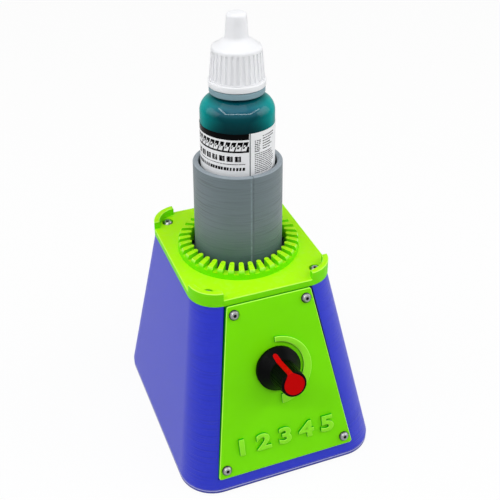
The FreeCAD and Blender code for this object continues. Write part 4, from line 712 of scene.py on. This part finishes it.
class SHAKER_OT_bottle(Maker):
    """Finish the bottle, its paint and its dropper"""
    bl_idname = "shaker.bottle"
    bl_label = "Bottle"

    def make(self, scene):
        look = scene.shaker_bottle
        smoothed("bottle_body", self.plastic(look), "bottle")
        coat(moulded("paint liquid", look.paint, 0.2), "paint")
        coat(moulded("dropper plastic", look.cap, 0.3), "dropper_tip")

    def plastic(self, look):
        """Squeezable plastic full of paint: deep colour under a clear gloss, brightest on the shoulder, with
        painted light towards the outline and painted shade under the neck ring.
        """
        made, tree, shader = material("bottle plastic")
        spot = object_place(tree, CUP)
        grain = placed_effect(tree, "Mould Grain", Place=spot, Scale=900.0)
        height = maths(tree, "DIVIDE", axes(tree, spot)[2], MM)
        wall_top, slope_foot, neck_foot, neck_ring = 52.5, 54.5, 56.6, 57.0
        # Painted light: the paint turns from deep to light towards the outline, as light that gets in from
        # the sides.
        slant = node(tree, "ShaderNodeLayerWeight", {"Blend": 0.5}).outputs["Facing"]
        side = ranged(tree, slant, 0.12, 0.6, 0, 1)
        black = toned(look.deep_paint, 0.3)
        deep = mixed(tree, ranged(tree, height, wall_top, slope_foot, 0, 1), look.deep_paint, srgb("005A6E"))
        base = mixed(tree, side, deep, look.paint)
        # Darker for a little way above the label, less so near the outline.
        dark_above_label = ranged(tree, height, look.label_high, look.label_high + 5.5, 0.95, 0)
        base = mixed(tree, both(tree, dark_above_label, ranged(tree, side, 0, 1, 1, 0.3)), base, black)
        # Painted shade under the neck ring.
        base = mixed(tree, ranged(tree, height, neck_foot - 1.6, neck_foot, 0, 0.75), base, black)
        base = mixed(tree, ranged(tree, height, neck_ring, neck_ring + 0.4, 0, 1), base, srgb("86A1AA"))
        tree.links.new(base, shader["Base Color"])
        shoulder = both(tree, ranged(tree, height, wall_top, wall_top + 1.0, 0.1, 1),
                        ranged(tree, height, neck_foot - 0.6, neck_foot, 1, 0))
        shoulder = both(tree, shoulder, ranged(tree, slant, 0.25, 0.5, 1, 0.1))
        tree.links.new(maths(tree, "MULTIPLY", shoulder, 0.5), shader["Coat Weight"])
        tree.links.new(ranged(tree, grain["Wear"], 0, 1, 0.07, 0.11), shader["Roughness"])
        tree.links.new(bumped(tree, grain["Height"], 0.000003), shader["Normal"])
        shader["Specular IOR Level"].default_value = 0.02
        return made


class SHAKER_OT_label(Maker):
    """Wrap the printed label round the bottle"""
    bl_idname = "shaker.label"
    bl_label = "Label"

    def make(self, scene):
        look = scene.shaker_bottle
        thick, tall, steps = look.label_thick * MM, (look.label_high - look.label_low) * MM, 168
        gap = look.label_gap / look.label_radius
        select_only()
        bpy.ops.mesh.primitive_plane_add(size=1)
        label = bpy.context.object
        label.scale = (thick, tall, 1)
        label.rotation_euler.x = math.radians(90)
        label.location = (look.label_radius * MM + thick / 2, 0, look.label_low * MM + tall / 2)
        bpy.ops.object.transform_apply(location=True, rotation=True, scale=True)
        label.rotation_euler.z = look.label_seam + gap / 2
        bpy.ops.object.transform_apply(location=True, rotation=True, scale=True)
        bpy.ops.object.mode_set(mode="EDIT")
        bpy.ops.mesh.select_all(action="SELECT")
        bpy.ops.mesh.spin(steps=steps, angle=2 * math.pi - gap, center=(0, 0, 0), axis=(0, 0, 1))
        bpy.ops.mesh.select_all(action="SELECT")
        bpy.ops.mesh.normals_make_consistent(inside=False)
        bpy.ops.object.mode_set(mode="OBJECT")
        finish_piece(label, "bottle_label", "bottle", self.paper(look), place=CUP,
                     smooth=40)

    def paper(self, look):
        """White paper with black bands, bold marks and fine lines that spell nothing."""
        made, tree, shader = material("label paper")
        spot = object_place(tree, CUP)
        up = maths(tree, "DIVIDE", axes(tree, spot)[2], MM)
        # round the bottle from the seam: banded side below zero, plain side above it
        flat = axes(tree, spun(tree, spot, -look.label_seam))
        around = maths(tree, "MULTIPLY", maths(tree, "ARCTAN2", flat[1], flat[0]), look.label_radius)

        def row(left, right, low, high, **values):
            return placed_effect(tree, "Print Row", Around=around, Up=up, Left=left, Right=right, Low=low,
                                 High=high, **values)["Mask"]

        ink = self.bold_print(tree, row, math.pi * look.label_radius)
        base = mixed(tree, ink, look.paper, look.ink)
        base = mixed(tree, maths(tree, "MULTIPLY", self.fine_print(tree, row), 0.95), base, look.fine_ink)
        tree.links.new(base, shader["Base Color"])
        tree.links.new(ranged(tree, ink, 0, 1, 0.36, 0.12), shader["Roughness"])
        grain = placed_effect(tree, "Mould Grain", Place=spot, Scale=1200.0)
        tree.links.new(bumped(tree, grain["Height"], 0.000004), shader["Normal"])
        shader["Specular IOR Level"].default_value = 0.04
        return made

    def bold_print(self, tree, row, half):
        """Two bands with slanted marks across them, squares, dashes, and a band and bars at the foot."""
        bands = either(tree, row(-half, 0.0, 45.6, 60.0), row(-half, 0.0, 41.3, 43.35))
        marks = without(tree, row(-23.0, -0.7, 41.9, 44.9, Count=12.0, Fill=0.8, Slant=0.9, Uneven=0.2),
                        row(-22.5, -0.2, 42.7, 43.9, Count=12.0, Fill=0.24, Slant=0.4, Uneven=0.3))
        squares = row(-22.8, -2.0, 38.2, 40.1, Count=8.0, Fill=0.76)
        strokes = either(tree, row(-22.8, -2.0, 38.2, 40.1, Lines=4.0, Line_Fill=0.72, Count=24.0, Fill=0.85,
                                   Uneven=0.6),
                         row(-22.6, -1.8, 38.2, 40.1, Count=16.0, Fill=0.5, Uneven=0.4))
        dashes = either(tree, row(-23.5, -1.2, 37.2, 37.45, Count=40.0, Fill=0.85, Uneven=0.3),
                        row(-23.5, -1.2, 35.1, 36.2, Count=22.0, Fill=0.74, Slant=0.1, Uneven=0.35))
        foot = either(tree, row(-half, half, 8.4, 10.4),
                      row(3.0, 15.0, 13.0, 19.0, Count=34.0, Fill=0.5, Uneven=0.7))
        return either(tree, without(tree, bands, marks), without(tree, marks, bands),
                      both(tree, squares, strokes), dashes, foot)

    def fine_print(self, tree, row):
        """Blocks of thin broken lines, three on the plain side and one low on the banded side."""
        return either(tree,
                      row(1.9, 4.2, 41.0, 45.2, Lines=7.0, Line_Fill=0.55, Count=3.0, Fill=0.8, Uneven=0.5,
                          Ragged=0.3),
                      row(4.9, 10.8, 41.4, 46.6, Lines=6.0, Line_Fill=0.4, Count=8.0, Fill=0.85, Uneven=0.4,
                          Ragged=0.5),
                      row(1.9, 11.0, 33.6, 40.8, Lines=11.0, Line_Fill=0.45, Count=12.0, Fill=0.86,
                          Uneven=0.3, Ragged=0.2),
                      row(-22.5, -2.5, 14.0, 30.0, Lines=12.0, Line_Fill=0.42, Count=18.0, Fill=0.85,
                          Uneven=0.3, Ragged=0.4))


class SHAKER_OT_cap(Maker):
    """Finish the ribbed cap"""
    bl_idname = "shaker.cap"
    bl_label = "Cap"

    def make(self, scene):
        finish = moulded("cap plastic", scene.shaker_bottle.cap, 0.32, shine=0.3, worn=0.02)
        glow(finish, 0.6, 0.0018, (1.0, 1.0, 1.0))
        smoothed("bottle_cap", finish, "cap")


class SHAKER_OT_drive(Maker):
    """Finish the motor, its bracket, the crank and the bearing that carries the cup"""
    bl_idname = "shaker.drive"
    bl_label = "Drive"

    def make(self, scene):
        coat(metal("race steel", srgb("D6D7DA"), gloss=0.12), "bearing_outer_race", "bearing_inner_race",
             "bearing_balls", "motor_shaft")
        coat(metal("dark screw", srgb("5A5B5E"), gloss=0.3), "journal_screw", "crank_grub_screw",
             "motor_screws")
        coat(metal("motor zinc", srgb("B4B5B8"), gloss=0.35), "motor_can", "bearing_cage", "journal_washer")
        coat(metal("motor brass", srgb("CFA850"), gloss=0.25), "motor_terminals")
        coat(printed("drive print", srgb("30343C")), "crank_hub", "motor_bracket")
        coat(moulded("end cap plastic", srgb("E4E2DA"), 0.4, worn=0.04), "motor_end_cap")


class SHAKER_OT_control(Maker):
    """Finish the turning resistor behind the knob"""
    bl_idname = "shaker.control"
    bl_label = "Speed control"

    def make(self, scene):
        coat(metal("control zinc", srgb("B9BABD"), gloss=0.32, stretch=(1, 0.02, 1)), "control_body",
             "control_washer", "control_nut", "spindle")
        coat(metal("control brass", srgb("CFA850"), gloss=0.25), "control_bushing")
        coat(moulded("wafer", srgb("7A5024"), 0.6), "control_terminals")


class SHAKER_OT_circuit(Maker):
    """Finish the board that feeds the motor, and what stands on it"""
    bl_idname = "shaker.circuit"
    bl_label = "Circuit"

    def make(self, scene):
        coat(moulded("solder resist", srgb("064020"), 0.3), "control_board")
        coat(moulded("capacitor sleeve", srgb("10203C"), 0.25), "capacitor")
        coat(moulded("terminal plastic", srgb("1E7A3C"), 0.4), "terminal_blocks")
        coat(moulded("transistor plastic", srgb("0C0C0D"), 0.4, worn=0.04), "power_transistor")
        coat(metal("heat sink", srgb("9C9DA0"), gloss=0.4, stretch=(1, 0.02, 1)), "heat_sink")
        coat(metal("board screw steel", srgb("B0B1B4")), "board_screws")


class SHAKER_OT_inlet(Maker):
    """Finish the power inlet in the back wall"""
    bl_idname = "shaker.inlet"
    bl_label = "Power inlet"

    def make(self, scene):
        black = moulded("inlet plastic", srgb("0E0E0F"), 0.4, worn=0.03, shine=0.2)
        smoothed("power_inlet", black, "case")
        smoothed("inlet_nut", metal("inlet nut zinc", srgb("A4A5A8"), gloss=0.3), "case")
        coat(metal("inlet brass", srgb("CFA850"), gloss=0.25), "inlet_pin")


class SHAKER_OT_stage(Maker):
    """Set up the floor, the lamps, the world and the camera"""
    bl_idname = "shaker.stage"
    bl_label = "Stage"

    def make(self, scene):
        look = scene.shaker_stage
        self.floor(look)
        self.world(scene, look)
        self.lamps(look)
        self.camera(scene, look)
        scene.view_settings.view_transform = "Standard"

    def floor(self, look):
        """A wide sheet that is nearly white where it is seen and keeps the object's shadow."""
        reach, seen, mirrored, white = 6.0, 0.9, 0.6, 1.03
        select_only()
        bpy.ops.mesh.primitive_grid_add(x_subdivisions=8, y_subdivisions=8, size=reach, location=(0, 0, 0))
        floor = bpy.context.object
        floor.name = "floor"
        made, tree, shader = material("floor")
        shader["Base Color"].default_value = (*look.floor, 1)
        shader["Roughness"].default_value = 0.9
        shader["Specular IOR Level"].default_value = 0.1
        rays = node(tree, "ShaderNodeLightPath").outputs
        lit = either(tree, both(tree, rays["Is Camera Ray"], seen),
                     both(tree, rays["Is Glossy Ray"], mirrored))
        paper = tree.nodes["Principled BSDF"].outputs[0]
        light = node(tree, "ShaderNodeEmission", {"Color": (1, 1, 1, 1), "Strength": white}).outputs[0]
        blend = node(tree, "ShaderNodeMixShader", {0: lit, 1: paper, 2: light}).outputs[0]
        tree.links.new(blend, tree.nodes["Material Output"].inputs["Surface"])
        floor.data.materials.append(made)

    def world(self, scene, look):
        """White where it is seen, straight or in gloss and glass, and softer as light."""
        scene.world = scene.world or bpy.data.worlds.new("World")
        scene.world.use_nodes = True
        tree = scene.world.node_tree
        rays = node(tree, "ShaderNodeLightPath").outputs
        seen = either(tree, rays["Is Camera Ray"], rays["Is Glossy Ray"], rays["Is Transmission Ray"])
        background = tree.nodes["Background"].inputs
        background["Color"].default_value = (1, 1, 1, 1)
        tree.links.new(ranged(tree, seen, 0, 1, look.ambient, 1.0), background["Strength"])

    def lamps(self, look):
        """Wide lamps overhead and on both sides, and three bars above the front, like a soft box's edge."""
        middle = Vector((0, 0, 70 * MM))
        for name, place, power, size in (("top", (-0.1, 0.0, 1.0), look.top, (0.8, 0.8)),
                                         ("left", (-0.95, 0.3, 0.45), look.left, (0.9, 0.7)),
                                         ("right", (0.95, -0.28, 0.45), look.right, (0.9, 0.7))):
            self.lamp(name, Vector(place), middle, power, size)
        height, thick = 0.79, 0.06
        corners = [Vector((x, y, height))
                   for x, y in ((-0.40, 0.30), (-0.68, -0.33), (0.36, -0.70), (0.72, -0.10))]
        for name, power, start, end in zip(("left bar", "front bar", "right bar"),
                                           (look.arm, look.front, look.arm), corners, corners[1:]):
            bar = self.lamp(name, (start + end) / 2, middle, power, ((end - start).length, thick))
            bar.rotation_euler = place_of(bar.location, bar.location - middle, end - start).to_euler()

    def lamp(self, name, place, aim, power, size):
        """A rectangular lamp that looks at a point."""
        light = bpy.data.lights.new("lamp " + name, "AREA")
        light.energy, light.shape, light.size, light.size_y = power, "RECTANGLE", *size
        lamp = bpy.data.objects.new(light.name, light)
        lamp.location = place
        lamp.rotation_euler = (aim - place).to_track_quat("-Z", "Y").to_euler()
        bpy.context.scene.collection.objects.link(lamp)
        return lamp

    def camera(self, scene, look):
        """From the left and above, at the height of the lid."""
        azimuth, elevation, distance = math.radians(-21.09), math.radians(35.11), 312.3
        aim = Vector((3.73, 5.40, 65.25))
        back = Vector((math.sin(azimuth) * math.cos(elevation), -math.cos(azimuth) * math.cos(elevation),
                       math.sin(elevation)))
        data = bpy.data.cameras.new("camera")
        data.lens, data.sensor_width, data.sensor_fit = look.lens, 36, "HORIZONTAL"
        data.clip_start, data.clip_end = 0.01, 20
        camera = bpy.data.objects.new("camera", data)
        camera.location = (aim + back * distance) * MM
        camera.rotation_euler = (-back).to_track_quat("-Z", "Y").to_euler()
        scene.collection.objects.link(camera)
        scene.camera = camera


SETTINGS = {"shaker_print": PrintSettings, "shaker_knob": KnobSettings, "shaker_bottle": BottleSettings,
            "shaker_stage": StageSettings}
MAKERS = (SHAKER_OT_effects, SHAKER_OT_case, SHAKER_OT_lid, SHAKER_OT_front_panel, SHAKER_OT_cup,
          SHAKER_OT_knob, SHAKER_OT_screws, SHAKER_OT_bottle, SHAKER_OT_label, SHAKER_OT_cap, SHAKER_OT_drive,
          SHAKER_OT_control, SHAKER_OT_circuit, SHAKER_OT_inlet, SHAKER_OT_stage)


class SHAKER_PT_sidebar(bpy.types.Panel):
    """Makers and settings of the shaker"""
    bl_idname = "SHAKER_PT_sidebar"
    bl_label = "Paint Shaker"
    bl_space_type = "VIEW_3D"
    bl_region_type = "UI"
    bl_category = "Shaker"

    def draw(self, context):
        for maker in MAKERS:
            self.layout.operator(maker.bl_idname)
        for name, group in SETTINGS.items():
            box = self.layout.box()
            for field in group.__annotations__:
                box.prop(getattr(context.scene, name), field)


def register():
    for group in SETTINGS.values():
        bpy.utils.register_class(group)
    for kind in (*MAKERS, SHAKER_PT_sidebar):
        bpy.utils.register_class(kind)
    for name, group in SETTINGS.items():
        setattr(bpy.types.Scene, name, PointerProperty(type=group))


def unregister():
    for name in SETTINGS:
        delattr(bpy.types.Scene, name)
    for kind in (SHAKER_PT_sidebar, *reversed(MAKERS), *SETTINGS.values()):
        bpy.utils.unregister_class(kind)


def main():
    register()
    for maker in MAKERS:
        group, name = maker.bl_idname.split(".")
        getattr(getattr(bpy.ops, group), name)()


if __name__ == "__main__":
    main()
